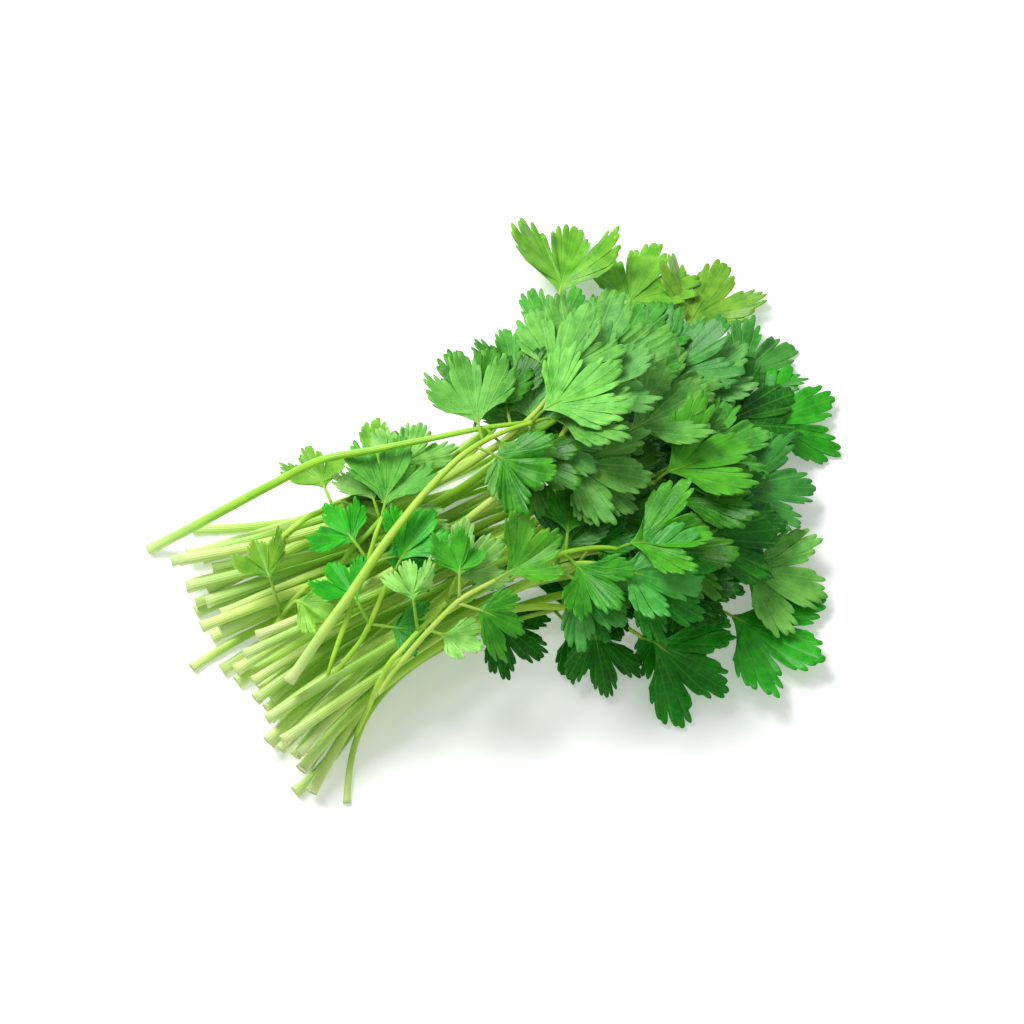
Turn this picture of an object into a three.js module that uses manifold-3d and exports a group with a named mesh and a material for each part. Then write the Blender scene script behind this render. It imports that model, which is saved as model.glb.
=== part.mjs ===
// A bunch of fresh coriander lying on a table. Cut leafy stems are gathered at the waist: their cut
// ends fan out at one end, and their lobed leaves lie heaped at the other.
// Millimetres, +Z up. +X runs from the cut ends to the leaves, and the table is at Z 0.
import * as THREE from 'three';
import { mergeVertices } from 'three/addons/utils/BufferGeometryUtils.js';
import Module from 'manifold-3d';

const wasm = await Module();
wasm.setup();

// Driving dimensions of the bunch
const CUT_X = -134; // middle of the line of cut ends
const CUT_Y = -24;
const CUT_HALF_WIDTH = 58;
const CUT_LEAN = 6; // the outermost stems are cut this much further back or forward
const CUT_SCATTER = 8;
const WAIST_X = -18;
const WAIST_Y = -2;
const WAIST_HALF_WIDTH = 27;
const WAIST_BACK = 34; // from the waist back to where the stems bend towards it
const WAIST_SCATTER = 8;
const FAN_DEGREES = 54; // the outermost stems leave the waist at this angle from +X
const NEAR_TIP = 60; // from the waist to the tip of the shortest inner stem
const FAR_TIP = 113;
const SIDE_TIP_LOSS = 0.25; // the outermost stems are shorter by this share
const TIP_STEP = 0.618034; // a golden step, which mixes near and far tips
const TIP_START = 0.4;
const BOW_SHARE = 0.55; // where a stem straightens, as a share of its way from the waist to its tip
const NEAR_SHIFT = -24; // the short stems end up highest, and lean this far to the right
const LAYERS = 3;
const STEMS_A_LAYER = 7;
const LANE_START = 0.25; // where the first stem of the lowest layer lies in its lane
const LANE_STAGGER = 0.5; // how far the layers are staggered, in lanes
const LANE_SCATTER = 0.1;
const MIN_RADIUS = 2.0;
const MAX_RADIUS = 2.6;
const MIN_SIZE = 32; // of the leaflets on the inner stems
const MAX_SIZE = 39;
const CENTRE_SHIFT_X = 1.6; // brings the middle of the bunch's box over the origin
const CENTRE_SHIFT_Y = 1;

// Driving dimensions of a stem
const STEM_SIDES = 5;
const STEM_SEGMENTS = 8;
const TIP_RADIUS = 0.85;
const STEM_GAP = 0.5; // air between stems that cross
const TABLE_PRESS = 0.3; // how much of a stem that lies on the table is pressed flat
const FINE_STEPS = 12; // fine steps in a segment
const TAPER = 1.3; // above 1, a stem thins mostly near its tip
const STIFFENING = 3; // passes that lift sagging knots
const END_SAG = 12; // how far an end hangs below the knot next to it

// Driving dimensions of a leaflet
const BLADE_THICKNESS = 0.7;
const BLADE_GAP = 0.5; // air between a blade and what it lies on
const STALK_RADIUS = 0.75; // at the stem
const STALK_END_RADIUS = 0.25; // inside the blade
const STALK_SIDES = 3;
const STALK_INTO_BLADE = 0.3; // how far it runs on from the base towards the fold
const STALK_FREE = 0.3; // the share of a stalk near its stem that isn't held clear of the heap
const FOLD = 0.15; // where the folds meet, as a share of the blade
const LOBE_ANGLES = [-62, -46, -31, -19.5, -11, 0, 11, 19.5, 31, 46, 62]; // round the base, from the axis
const LOBE_REACH = [0.5, 0.84, 0.93, 0.5, 0.94, 1, 0.94, 0.5, 0.93, 0.84, 0.5]; // as shares of the size
const MOST_CLIMB = 0.15; // the steepest that a blade climbs over what lies below it
const MOST_STALK_CLIMB = 3.5; // a leaflet whose stalk would be steeper is left off
const ROOT_FREE = 12; // leaflets of one stem may touch this near to their bases
const SAMPLE_SPACING = 0.7;

// A leaf has one leaflet at the tip and a smaller pair behind it
const PAIR_BACK = 0.62; // from the tip, as a share of the size
const PAIR_BACK_SCATTER = 3;
const PAIR_TURN = 62;
const TURN_SCATTER = 12;
const PAIR_STALK = 8;
const PAIR_SIZE = 0.8;
const MIN_PAIR_SIZE = 0.88; // times the size of a pair
const MAX_PAIR_SIZE = 1.1;
const TIP_STALK = 5;
const TIP_BACK = 0.5;

// The ranges of a free leaflet's slopes along and across it, and of how it bends down across and along
const CLIMB = [-0.4, 0.3];
const BANK = [-0.5, 0.5];
const CUP = [-0.2, 0.5];
const DROOP = [0, 0.3];
const CALMEST = 0.3; // the lowest leaves slope by this share of their draws

const LEAF_GREEN = new THREE.Color(0.16, 0.5, 0.12);

const { degToRad, lerp } = THREE.MathUtils;

// A repeatable draw from low to high. Each stem, leaflet and use has its own.
function draw(stem, leaflet, use, low, high) {
  const wave = Math.sin(stem * 127.1 + leaflet * 311.7 + use * 74.7) * 43758.5453;
  return low + (high - low) * (wave - Math.floor(wave));
}

// A stem's plan: its radius, where it is cut, the two points that bend it, its tip, the length of its
// leaflets and how many it has
function stemPlan(name, radius, cut, low, high, tip, size = 38, leaflets = 3) {
  return { name, radius, cut, low, high, tip, size, leaflets };
}

// The inner stems lie in layers. Each layer is a fan from the cut ends through the waist to the tips,
// with near and far tips mixed by a golden step.
function innerStem(i) {
  const layer = Math.floor(i / STEMS_A_LAYER);
  const stagger = LANE_START + LANE_STAGGER * (layer / LAYERS) + draw(i, 0, 1, -LANE_SCATTER, LANE_SCATTER);
  const lane = (2 * ((i % STEMS_A_LAYER) + stagger)) / STEMS_A_LAYER - 1;
  const turn = degToRad(lane * FAN_DEGREES);
  const share = (i * TIP_STEP + TIP_START) % 1;
  const far = lerp(NEAR_TIP, FAR_TIP, share) * (1 - SIDE_TIP_LOSS * Math.abs(lane));
  const bow = BOW_SHARE * far;
  const middleY = WAIST_Y + NEAR_SHIFT * (1 - share);
  const cutX = CUT_X - CUT_LEAN * lane + draw(i, 0, 4, -CUT_SCATTER, CUT_SCATTER);
  const lowY = middleY + lane * WAIST_HALF_WIDTH + draw(i, 0, 2, -WAIST_SCATTER, WAIST_SCATTER);
  return stemPlan(
    `leafy_stem_${String(i + 1).padStart(2, '0')}`,
    draw(i, 0, 3, MIN_RADIUS, MAX_RADIUS),
    [cutX, CUT_Y + lane * CUT_HALF_WIDTH],
    [WAIST_X - WAIST_BACK, lowY],
    [WAIST_X + bow * Math.cos(turn), middleY + bow * Math.sin(turn)],
    [WAIST_X + far * Math.cos(turn), middleY + far * Math.sin(turn)],
    draw(i, 0, 6, MIN_SIZE, MAX_SIZE),
  );
}

// Stems at the edge of the bunch
const edgeStems = [
  stemPlan('edge_stem_upper', 2.1, [-127, 42], [-98, 30], [-30, 10], [52, 38], 34),
  stemPlan('edge_stem_stub', 2.1, [-136, 19], [-106, 16], [-20, 6], [78, -2], 34),
  stemPlan('edge_stem_low_left', 2.0, [-149, -17], [-120, -8], [-30, 4], [66, -36], 34),
  stemPlan('edge_stem_hooked', 2.4, [-129, -84], [-98, -76], [-74, -36], [-12, -32], 34),
  stemPlan('edge_stem_thin', 1.4, [-111, -96], [-98, -66], [-76, -34], [20, -54], 34),
];

// Stems whose leaves are hidden in the heap or torn off, so that only the stems are left
const bareStems = [
  stemPlan('bare_stem_1', 2.3, [-128, 28], [-88, 24], [-50, 12], [14, 14], 0, 0),
  stemPlan('bare_stem_2', 2.4, [-139, 6], [-96, 8], [-54, 0], [20, 2], 0, 0),
  stemPlan('bare_stem_3', 2.5, [-137, -8], [-92, -6], [-52, -4], [24, -10], 0, 0),
  stemPlan('bare_stem_4', 2.4, [-134, -30], [-90, -20], [-56, -10], [18, -22], 0, 0),
  stemPlan('bare_stem_5', 2.5, [-127, -46], [-90, -34], [-54, -18], [10, -30], 0, 0),
  stemPlan('bare_stem_6', 2.4, [-131, -60], [-92, -44], [-62, -24], [2, -16], 0, 0),
  stemPlan('bare_stem_7', 2.5, [-121, -76], [-92, -58], [-64, -34], [-4, -36], 0, 0),
  stemPlan('bare_stem_8', 2.3, [-123, -88], [-98, -66], [-70, -42], [-10, -24], 0, 0),
];

// Stems whose leaves give the bunch its outline and its face
const showyStems = [
  stemPlan('showy_stem_upper_sprig', 1.9, [-138, 8], [-40, 0], [24, 34], [53, 79], 39, 1),
  stemPlan('showy_stem_upper_middle', 2.2, [-128, -8], [-30, 0], [48, 34], [76, 62]),
  stemPlan('showy_stem_upper_right', 2.2, [-126, 20], [-30, 6], [68, 18], [98, 48]),
  stemPlan('showy_stem_right_high', 2.1, [-124, -44], [-30, -8], [74, 2], [104, 17], 34),
  stemPlan('showy_stem_right_tip', 2.2, [-132, -62], [-34, -12], [70, -20], [104, -8]),
  stemPlan('showy_stem_right_low', 2.3, [-124, -72], [-34, -18], [56, -38], [72, -62]),
  stemPlan('showy_stem_low_right', 2.4, [-124, -80], [-40, -26], [42, -44], [62, -77], 44),
  stemPlan('showy_stem_low_middle', 2.1, [-120, -66], [-44, -34], [6, -43], [27, -77]),
  stemPlan('showy_stem_big_pale', 2.0, [-122, -26], [-40, -30], [20, -16], [32, 12], 46),
  stemPlan('showy_stem_middle', 2.1, [-130, -74], [-50, -34], [14, -22], [52, -28], 40),
  stemPlan('showy_stem_blue_green', 2.0, [-134, 30], [-30, 6], [40, 4], [70, 24], 42),
];

// Short young stems, whose small leaves lie over the bare stems
const youngStems = [
  stemPlan('young_stem_left_back', 1.4, [-104, 8], [-86, 13], [-71, 18], [-57, 24], 29),
  stemPlan('young_stem_left_high', 1.3, [-96, -14], [-76, -12], [-54, -8], [-47, 7], 29),
  stemPlan('young_stem_pale_pair', 1.2, [-102, -54], [-88, -38], [-70, -20], [-59, -6], 30),
  stemPlan('young_stem_left_front', 1.3, [-122, -20], [-113, -17], [-103, -13], [-93, -9], 23),
  stemPlan('young_stem_dark_curl', 1.3, [-104, -58], [-92, -52], [-77, -42], [-64, -32], 26),
  stemPlan('young_stem_front', 1.3, [-98, -72], [-80, -64], [-62, -55], [-47, -47], 26),
  stemPlan('young_stem_front_low', 1.2, [-86, -70], [-72, -62], [-50, -54], [-28, -52], 27),
];

// Stems that arch over all the others
const archedStems = [
  stemPlan('showy_stem_pale_bow', 2.2, [-147, 40], [-106, 34], [-46, 17], [12, 3]),
  stemPlan('showy_stem_bent', 2.1, [-118, -54], [-66, -30], [-34, 8], [10, 2]),
];

// The top of what lies at each place on the table, in square cells. A point raises the cells next to
// its own too, so that nothing passes between two points.
class Heap {
  static CELL = 1.1;
  static HALF_X = 176;
  static HALF_Y = 160;

  constructor() {
    this.columns = Math.round((2 * Heap.HALF_X) / Heap.CELL);
    this.tops = new Float64Array(this.columns * Math.ceil((2 * Heap.HALF_Y) / Heap.CELL));
  }

  cell(x, y) {
    const row = Math.floor((y + Heap.HALF_Y) / Heap.CELL);
    const column = Math.floor((x + Heap.HALF_X) / Heap.CELL);
    return row * this.columns + column;
  }

  raise(p) {
    const middle = this.cell(p.x, p.y);
    for (const row of [-this.columns, 0, this.columns]) {
      for (const column of [-1, 0, 1]) {
        const near = middle + row + column;
        this.tops[near] = Math.max(this.tops[near], p.z);
      }
    }
  }

  top(p) {
    return this.tops[this.cell(p.x, p.y)];
  }
}

// Three points across a line at one of its steps, at the height of its top
function widthPoints(line, k) {
  const [a, b] = k > 0 ? [line[k - 1], line[k]] : [line[0], line[1]];
  const heading = Math.atan2(b.y - a.y, b.x - a.x);
  const { x, y, z, radius } = line[k];
  return [-radius, 0, radius].map((across) => ({
    x: x - across * Math.sin(heading),
    y: y + across * Math.cos(heading),
    z: z + radius,
  }));
}

// A stem's line: straight segments along a cubic Bezier in plan, in fine steps. Each step rests on the
// table, on leaves, or in the grooves between the stems laid before it. A segment keeps to its highest
// step and the stem is stiff, so it spans the hollows.
function layLine(stem, laid, leafHeap) {
  const points = [stem.cut, stem.low, stem.high, stem.tip].map(([x, y]) => new THREE.Vector2(x, y));
  const knots = new THREE.CubicBezierCurve(...points).getPoints(STEM_SEGMENTS);
  const steps = STEM_SEGMENTS * FINE_STEPS;
  const line = Array.from({ length: steps + 1 }, (_, k) => {
    const before = Math.min(Math.floor(k / FINE_STEPS), STEM_SEGMENTS - 1);
    const p = knots[before].clone().lerp(knots[before + 1], k / FINE_STEPS - before);
    return { x: p.x, y: p.y, radius: lerp(stem.radius, TIP_RADIUS, (k / steps) ** TAPER) };
  });
  const rest = line.map((p, k) => {
    const grooves = laid.map((q) => {
      const apart = (q.x - p.x) ** 2 + (q.y - p.y) ** 2;
      const reach = (p.radius + q.radius + STEM_GAP) ** 2;
      return apart < reach ? q.z + Math.sqrt(reach - apart) : 0;
    });
    const leaves = Math.max(...widthPoints(line, k).map((side) => leafHeap.top(side)));
    const low = Math.max(p.radius * Math.cos(Math.PI / STEM_SIDES) - TABLE_PRESS, STALK_RADIUS);
    return Math.max(low, leaves > 0 ? leaves + STEM_GAP + p.radius : 0, ...grooves);
  });
  const heights = knots.map((_, k) => {
    const nearby = rest.slice(Math.max(0, (k - 1) * FINE_STEPS), (k + 1) * FINE_STEPS + 1);
    return Math.max(...nearby);
  });
  for (let pass = 0; pass < STIFFENING; pass += 1) {
    for (let k = 1; k < STEM_SEGMENTS; k += 1) {
      heights[k] = Math.max(heights[k], (heights[k - 1] + heights[k + 1]) / 2);
    }
  }
  heights[0] = Math.max(heights[0], heights[1] - END_SAG);
  heights[STEM_SEGMENTS] = Math.max(heights[STEM_SEGMENTS], heights[STEM_SEGMENTS - 1] - END_SAG);
  return line.map((p, k) => {
    const before = Math.min(Math.floor(k / FINE_STEPS), STEM_SEGMENTS - 1);
    return { ...p, z: lerp(heights[before], heights[before + 1], k / FINE_STEPS - before) };
  });
}

// The point of a line at a distance back from its tip, with the heading there
function pointBack(line, distance) {
  let left = distance;
  let k = line.length - 1;
  const stepAt = () => Math.hypot(line[k].x - line[k - 1].x, line[k].y - line[k - 1].y);
  while (left > stepAt()) {
    left -= stepAt();
    k -= 1;
  }
  const [a, b] = [line[k - 1], line[k]];
  const share = left / stepAt();
  return {
    x: lerp(b.x, a.x, share),
    y: lerp(b.y, a.y, share),
    z: lerp(b.z, a.z, share),
    heading: Math.atan2(b.y - a.y, b.x - a.x),
  };
}

// Raises the heap by a stem
function heapLine(line, heap) {
  line.forEach((_, k) => widthPoints(line, k).forEach((p) => heap.raise(p)));
}

// The leaflets of a stem, each with the way it would lie if nothing were below it: its heading, the
// slopes along it and across it, and how its edges and its tip bend down
function leafletsOf(stem, number, line, liveliness) {
  const pair = [-1, 1].map((side, index) => {
    const k = index + 1;
    return {
      back: stem.size * PAIR_BACK + draw(number, k, 1, -PAIR_BACK_SCATTER, PAIR_BACK_SCATTER),
      turn: side * PAIR_TURN + draw(number, k, 2, -TURN_SCATTER, TURN_SCATTER),
      stalk: PAIR_STALK,
      size: stem.size * PAIR_SIZE * draw(number, k, 3, MIN_PAIR_SIZE, MAX_PAIR_SIZE),
      number: k,
    };
  });
  const atTip = {
    back: TIP_BACK,
    turn: draw(number, 0, 2, -TURN_SCATTER, TURN_SCATTER),
    stalk: TIP_STALK,
    size: stem.size,
    number: 0,
  };
  return [...pair, atTip].slice(pair.length + 1 - stem.leaflets).map((leaf) => {
    const root = pointBack(line, leaf.back);
    return {
      ...leaf,
      root,
      heading: root.heading + degToRad(leaf.turn),
      climb: draw(number, leaf.number, 4, ...CLIMB) * liveliness,
      bank: draw(number, leaf.number, 5, ...BANK) * liveliness,
      cup: draw(number, leaf.number, 6, ...CUP),
      droop: draw(number, leaf.number, 8, ...DROOP),
    };
  });
}

// A point of a leaflet in plan, at an angle from its axis and a distance from its blade's base, with
// its height over the base
function leafPoint(leaf, degrees, far) {
  const along = far * Math.cos(degToRad(degrees));
  const across = far * Math.sin(degToRad(degrees));
  const out = leaf.stalk + along * Math.cos(Math.atan(leaf.climb));
  const side = across * Math.cos(Math.atan(leaf.bank));
  const bend = (leaf.cup * across * across + leaf.droop * along * along) / leaf.size;
  return new THREE.Vector3(
    leaf.root.x + out * Math.cos(leaf.heading) - side * Math.sin(leaf.heading),
    leaf.root.y + out * Math.sin(leaf.heading) + side * Math.cos(leaf.heading),
    along * leaf.climb + side * leaf.bank - bend,
  );
}

// Points about a millimetre apart over the facets between the fold and the rim, each with its share
// of the way to the rim, and its place between two corners of it
function facetSamples(fold, rim) {
  return rim.flatMap((corner, k) => {
    const next = rim[(k + 1) % rim.length];
    const reach = Math.max(fold.distanceTo(corner), fold.distanceTo(next));
    const rings = Math.ceil(reach / SAMPLE_SPACING);
    const samples = [];
    for (let ring = 1; ring <= rings; ring += 1) {
      const share = ring / rings;
      const steps = Math.ceil((corner.distanceTo(next) * share) / SAMPLE_SPACING);
      for (let step = 0; step <= steps; step += 1) {
        samples.push({ corner: k, share, between: step / steps });
      }
    }
    return samples;
  });
}

function samplePoint(sample, fold, rim) {
  const edge = rim[sample.corner].clone().lerp(rim[(sample.corner + 1) % rim.length], sample.between);
  return fold.clone().lerp(edge, sample.share);
}

// Drapes a leaflet over what lies below it. Where its free shape would sink in, the fold and the
// corners of the rim are raised. Returns null where its stalk would be too steep.
function drape(leaf, heaps, own) {
  const base = leafPoint(leaf, 0, 0);
  const fold = leafPoint(leaf, 0, FOLD * leaf.size);
  const lobes = LOBE_ANGLES.map((degrees, k) => leafPoint(leaf, degrees, LOBE_REACH[k] * leaf.size));
  const rim = [base, ...lobes];
  const half = 0.5 * BLADE_THICKNESS * Math.hypot(1, leaf.climb, leaf.bank);
  const needed = (p, nearRoot) => {
    const below = Math.max(...heaps.map((heap) => heap.top(p)), nearRoot ? 0 : own.top(p));
    return below > 0 ? below + BLADE_GAP + half : half;
  };
  const samples = facetSamples(fold, rim).map((sample) => {
    const p = samplePoint(sample, fold, rim);
    const nearRoot = Math.hypot(p.x - base.x, p.y - base.y) < ROOT_FREE;
    return { ...sample, rest: needed(p, nearRoot), out: Math.hypot(p.x - fold.x, p.y - fold.y) };
  });
  let baseZ = leaf.root.z;
  for (let step = 1; step <= leaf.stalk; step += 1) {
    const share = lerp(STALK_FREE, 1, step / leaf.stalk);
    const p = { x: lerp(leaf.root.x, base.x, share), y: lerp(leaf.root.y, base.y, share) };
    baseZ = Math.max(baseZ, leaf.root.z + (needed(p, true) + STALK_RADIUS - leaf.root.z) / share);
  }
  fold.z = Math.max(baseZ, ...samples.map((s) => s.rest - MOST_CLIMB * s.out));
  const lift = fold.z;
  rim.forEach((corner) => { corner.z += lift; });
  for (const s of samples) {
    const edgeZ = (s.rest - (1 - s.share) * fold.z) / s.share;
    for (const corner of [rim[s.corner], rim[(s.corner + 1) % rim.length]]) {
      corner.z = Math.max(corner.z, edgeZ);
    }
  }
  if (base.z - leaf.root.z > MOST_STALK_CLIMB * leaf.stalk) return null;
  return { ...leaf, fold, rim, half, samples };
}

// Raises the heap by a leaflet and its stalk
function heapLeaf(leaf, heap) {
  const steps = Math.ceil(leaf.stalk / SAMPLE_SPACING);
  for (let step = 1; step <= steps; step += 1) {
    const p = new THREE.Vector3(leaf.root.x, leaf.root.y, leaf.root.z).lerp(leaf.rim[0], step / steps);
    p.z += STALK_RADIUS;
    heap.raise(p);
  }
  for (const sample of leaf.samples) {
    const p = samplePoint(sample, leaf.fold, leaf.rim);
    p.z += leaf.half;
    heap.raise(p);
  }
}

// A solid from a three.js geometry, with its shared corners merged
function solid(geometry) {
  geometry.deleteAttribute('normal');
  geometry.deleteAttribute('uv');
  const merged = mergeVertices(geometry, 1e-4);
  return new wasm.Manifold(new wasm.Mesh({
    numProp: 3,
    vertProperties: new Float32Array(merged.attributes.position.array),
    triVerts: new Uint32Array(merged.index.array),
  }));
}

// A cylinder with a flat side down, bent along the stem's segments, tapered with them, and flat on
// the table where it lies on it
function stemSolid(line) {
  const flatDown = -Math.PI / 2 - Math.PI / STEM_SIDES;
  const geometry = new THREE.CylinderGeometry(1, 1, 1, STEM_SIDES, STEM_SEGMENTS, false, flatDown);
  const position = geometry.attributes.position;
  for (let k = 0; k < position.count; k += 1) {
    const at = Math.round((0.5 + position.getY(k)) * (line.length - 1));
    const [before, after] = [line[Math.max(at - 1, 0)], line[Math.min(at + 1, line.length - 1)]];
    const heading = Math.atan2(after.y - before.y, after.x - before.x);
    const { x, y, z, radius } = line[at];
    const left = position.getZ(k) * radius;
    const up = Math.max(position.getX(k) * radius, -z);
    position.setXYZ(k, x - left * Math.sin(heading), y + left * Math.cos(heading), z + up);
  }
  return solid(geometry);
}

// A thin prism from inside the stem to inside the blade
function stalkSolid(leaf) {
  const root = new THREE.Vector3(leaf.root.x, leaf.root.y, leaf.root.z);
  const axis = leaf.rim[0].clone().lerp(leaf.fold, STALK_INTO_BLADE).sub(root);
  const geometry = new THREE.CylinderGeometry(STALK_END_RADIUS, STALK_RADIUS, axis.length(), STALK_SIDES);
  geometry.translate(0, axis.length() / 2, 0);
  const turn = new THREE.Quaternion().setFromUnitVectors(new THREE.Vector3(0, 1, 0), axis.normalize());
  geometry.applyQuaternion(turn);
  geometry.translate(...root.toArray());
  return solid(geometry);
}

// A flat disc whose middle is drawn to the fold and whose rim to the lobes
function bladeSolid(leaf) {
  const corners = leaf.rim.length;
  const geometry = new THREE.CylinderGeometry(1, 1, 2 * leaf.half, corners);
  const position = geometry.attributes.position;
  for (let k = 0; k < position.count; k += 1) {
    const [x, proud, z] = [position.getX(k), position.getY(k), position.getZ(k)];
    const turn = Math.round((Math.atan2(x, z) / (2 * Math.PI)) * corners);
    const place = Math.hypot(x, z) < 0.5 ? leaf.fold : leaf.rim[(turn + corners) % corners];
    position.setXYZ(k, place.x, place.y, place.z + proud);
  }
  return solid(geometry);
}

function toMesh(whole, name) {
  const made = whole.getMesh();
  const geometry = new THREE.BufferGeometry();
  geometry.setAttribute('position', new THREE.BufferAttribute(made.vertProperties, 3));
  geometry.setIndex(new THREE.BufferAttribute(made.triVerts, 1));
  const material = new THREE.MeshStandardMaterial({ color: LEAF_GREEN, roughness: 0.5, metalness: 0 });
  const mesh = new THREE.Mesh(geometry, material);
  mesh.name = name;
  mesh.position.set(CENTRE_SHIFT_X, CENTRE_SHIFT_Y, 0);
  return mesh;
}

// The stems are laid from the table up, each with its leaflets before the next. After the edge and the
// bare ones, those that reach farthest come first, so that they don't ride over the leaves of others.
const inner = Array.from({ length: LAYERS * STEMS_A_LAYER }, (_, i) => innerStem(i));
const reachOf = (stem) => Math.hypot(stem.tip[0] - WAIST_X, stem.tip[1] - WAIST_Y);
const fromFar = [...inner, ...showyStems].sort((a, b) => reachOf(b) - reachOf(a));
const stems = [...edgeStems, ...bareStems, ...fromFar, ...youngStems, ...archedStems];
const [stemHeap, leafHeap] = [new Heap(), new Heap()];
const laid = [];
const solids = stems.map((stem, k) => {
  const line = layLine(stem, laid, leafHeap);
  const own = new Heap();
  heapLine(line, own);
  let whole = stemSolid(line);
  const liveliness = lerp(CALMEST, 1, k / stems.length);
  const leaves = leafletsOf(stem, k, line, liveliness).map((leaf) => {
    const draped = drape(leaf, [stemHeap, leafHeap], own);
    if (draped !== null) {
      heapLeaf(draped, own);
      whole = whole.add(stalkSolid(draped)).add(bladeSolid(draped));
    }
    return draped;
  }).filter((leaf) => leaf !== null);
  leaves.forEach((leaf) => heapLeaf(leaf, leafHeap));
  heapLine(line, stemHeap);
  laid.push(...line);
  return whole;
});

const bunch = new THREE.Group();
stems.forEach((stem, k) => bunch.add(toMesh(solids[k], stem.name)));

export default bunch;
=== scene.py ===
"""A bunch of fresh coriander lying on a pale table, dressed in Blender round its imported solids.

The stems and leaflets are laid on one another by the same rule as the solids are, in millimetres.
Each solid is then replaced by a finer leafy stem: a ribbed stalk with its cut face, and blades with
toothed lobes, pleats, veins and curled edges. Millimetres become metres where a mesh is written.
"""

import logging
import math
from dataclasses import dataclass, field
from enum import Enum, IntEnum

import bpy
import numpy as np
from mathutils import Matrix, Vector

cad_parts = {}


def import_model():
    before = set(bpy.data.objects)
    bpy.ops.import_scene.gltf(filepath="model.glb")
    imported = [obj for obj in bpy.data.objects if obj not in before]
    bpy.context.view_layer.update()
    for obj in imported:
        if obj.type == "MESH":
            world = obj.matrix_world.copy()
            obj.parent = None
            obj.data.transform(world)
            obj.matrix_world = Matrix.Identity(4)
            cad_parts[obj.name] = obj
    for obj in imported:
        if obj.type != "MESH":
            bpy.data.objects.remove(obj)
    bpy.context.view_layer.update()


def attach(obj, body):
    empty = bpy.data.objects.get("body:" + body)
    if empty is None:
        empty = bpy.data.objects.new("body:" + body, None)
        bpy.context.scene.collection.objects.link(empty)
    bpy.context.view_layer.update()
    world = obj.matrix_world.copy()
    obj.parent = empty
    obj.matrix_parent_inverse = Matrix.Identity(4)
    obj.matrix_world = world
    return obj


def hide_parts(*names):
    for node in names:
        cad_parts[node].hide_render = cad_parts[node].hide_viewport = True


log = logging.getLogger("coriander")

METRES = 0.001
Colour = tuple[float, float, float]
Point = tuple[float, float]
Number = float | np.ndarray

# Repeatable draws: how the stem's, the leaflet's and the use's numbers weigh, and the sine's height
DRAW_WEIGHTS = (127.1, 311.7, 74.7)
DRAW_HEIGHT = 43758.5453

# Driving dimensions of the bunch, in millimetres, as in the solids
CUT_X = -134.0
CUT_Y = -24.0
CUT_HALF_WIDTH = 58.0
CUT_LEAN = 6.0
CUT_SCATTER = 8.0
WAIST_X = -18.0
WAIST_Y = -2.0
WAIST_HALF_WIDTH = 27.0
WAIST_BACK = 34.0
WAIST_SCATTER = 8.0
FAN_DEGREES = 54.0
NEAR_TIP = 60.0
FAR_TIP = 113.0
SIDE_TIP_LOSS = 0.25
TIP_STEP = 0.618034
TIP_START = 0.4
BOW_SHARE = 0.55
NEAR_SHIFT = -24.0
LAYERS = 3
STEMS_A_LAYER = 7
LANE_START = 0.25
LANE_STAGGER = 0.5
LANE_SCATTER = 0.1
RADIUS_RANGE = (2.0, 2.6)
SIZE_RANGE = (32.0, 39.0)
CENTRE_SHIFT = np.array([1.6, 1.0, 0.0])

# Driving dimensions of a stem
STEM_SIDES = 5
STEM_SEGMENTS = 8
TIP_RADIUS = 0.85
STEM_GAP = 0.5
TABLE_PRESS = 0.3
FINE_STEPS = 12
TAPER = 1.3
STIFFENING = 3
END_SAG = 12.0

# Driving dimensions of a leaflet
BLADE_THICKNESS = 0.7
BLADE_GAP = 0.5
STALK_RADIUS = 0.75
STALK_FREE = 0.3
FOLD = 0.15
LOBE_ANGLES = np.array([-62.0, -46.0, -31.0, -19.5, -11.0, 0.0, 11.0, 19.5, 31.0, 46.0, 62.0])
LOBE_REACH = np.array([0.5, 0.84, 0.93, 0.5, 0.94, 1.0, 0.94, 0.5, 0.93, 0.84, 0.5])
MOST_CLIMB = 0.15
MOST_STALK_CLIMB = 3.5
ROOT_FREE = 12.0
SAMPLE_SPACING = 0.7
CLIMB_RANGE = (-0.4, 0.3)
BANK_RANGE = (-0.5, 0.5)
CUP_RANGE = (-0.2, 0.5)
DROOP_RANGE = (0.0, 0.3)
CALMEST = 0.3

# A pair of leaflets behind the one at the tip
PAIR_BACK = 0.62
PAIR_BACK_SCATTER = 3.0
PAIR_TURN = 62.0
TURN_SCATTER = 12.0
PAIR_STALK = 8
PAIR_SIZE = 0.8
PAIR_SIZE_RANGE = (0.88, 1.1)
TIP_STALK = 5
TIP_BACK = 0.5


class Hue(Enum):
    """The greens of the leaves, in linear light: the upper side's and the underside's."""

    FRESH = ((0.07, 0.37, 0.016), (0.18, 0.55, 0.09))
    SUNLIT = ((0.22, 0.56, 0.045), (0.32, 0.68, 0.16))
    VIVID = ((0.032, 0.44, 0.014), (0.13, 0.5, 0.055))
    # Painted shade: a darker copy of the leaves' green, for leaves that lie in shade.
    SHADED_GREEN = ((0.022, 0.36, 0.01), (0.1, 0.47, 0.05))
    DEEP = ((0.014, 0.22, 0.006), (0.08, 0.42, 0.04))
    BLUISH = ((0.08, 0.4, 0.065), (0.18, 0.55, 0.13))

    @property
    def upper(self) -> Colour:
        """The colour of the upper side."""
        return self.value[0]

    @property
    def under(self) -> Colour:
        """The colour of the underside."""
        return self.value[1]


class StemDraw(IntEnum):
    """What is drawn for a stem."""

    LANE = 1
    WAIST = 2
    RADIUS = 3
    CUT = 4
    SIZE = 6
    GREEN = 23
    LIGHT = 24


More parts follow.
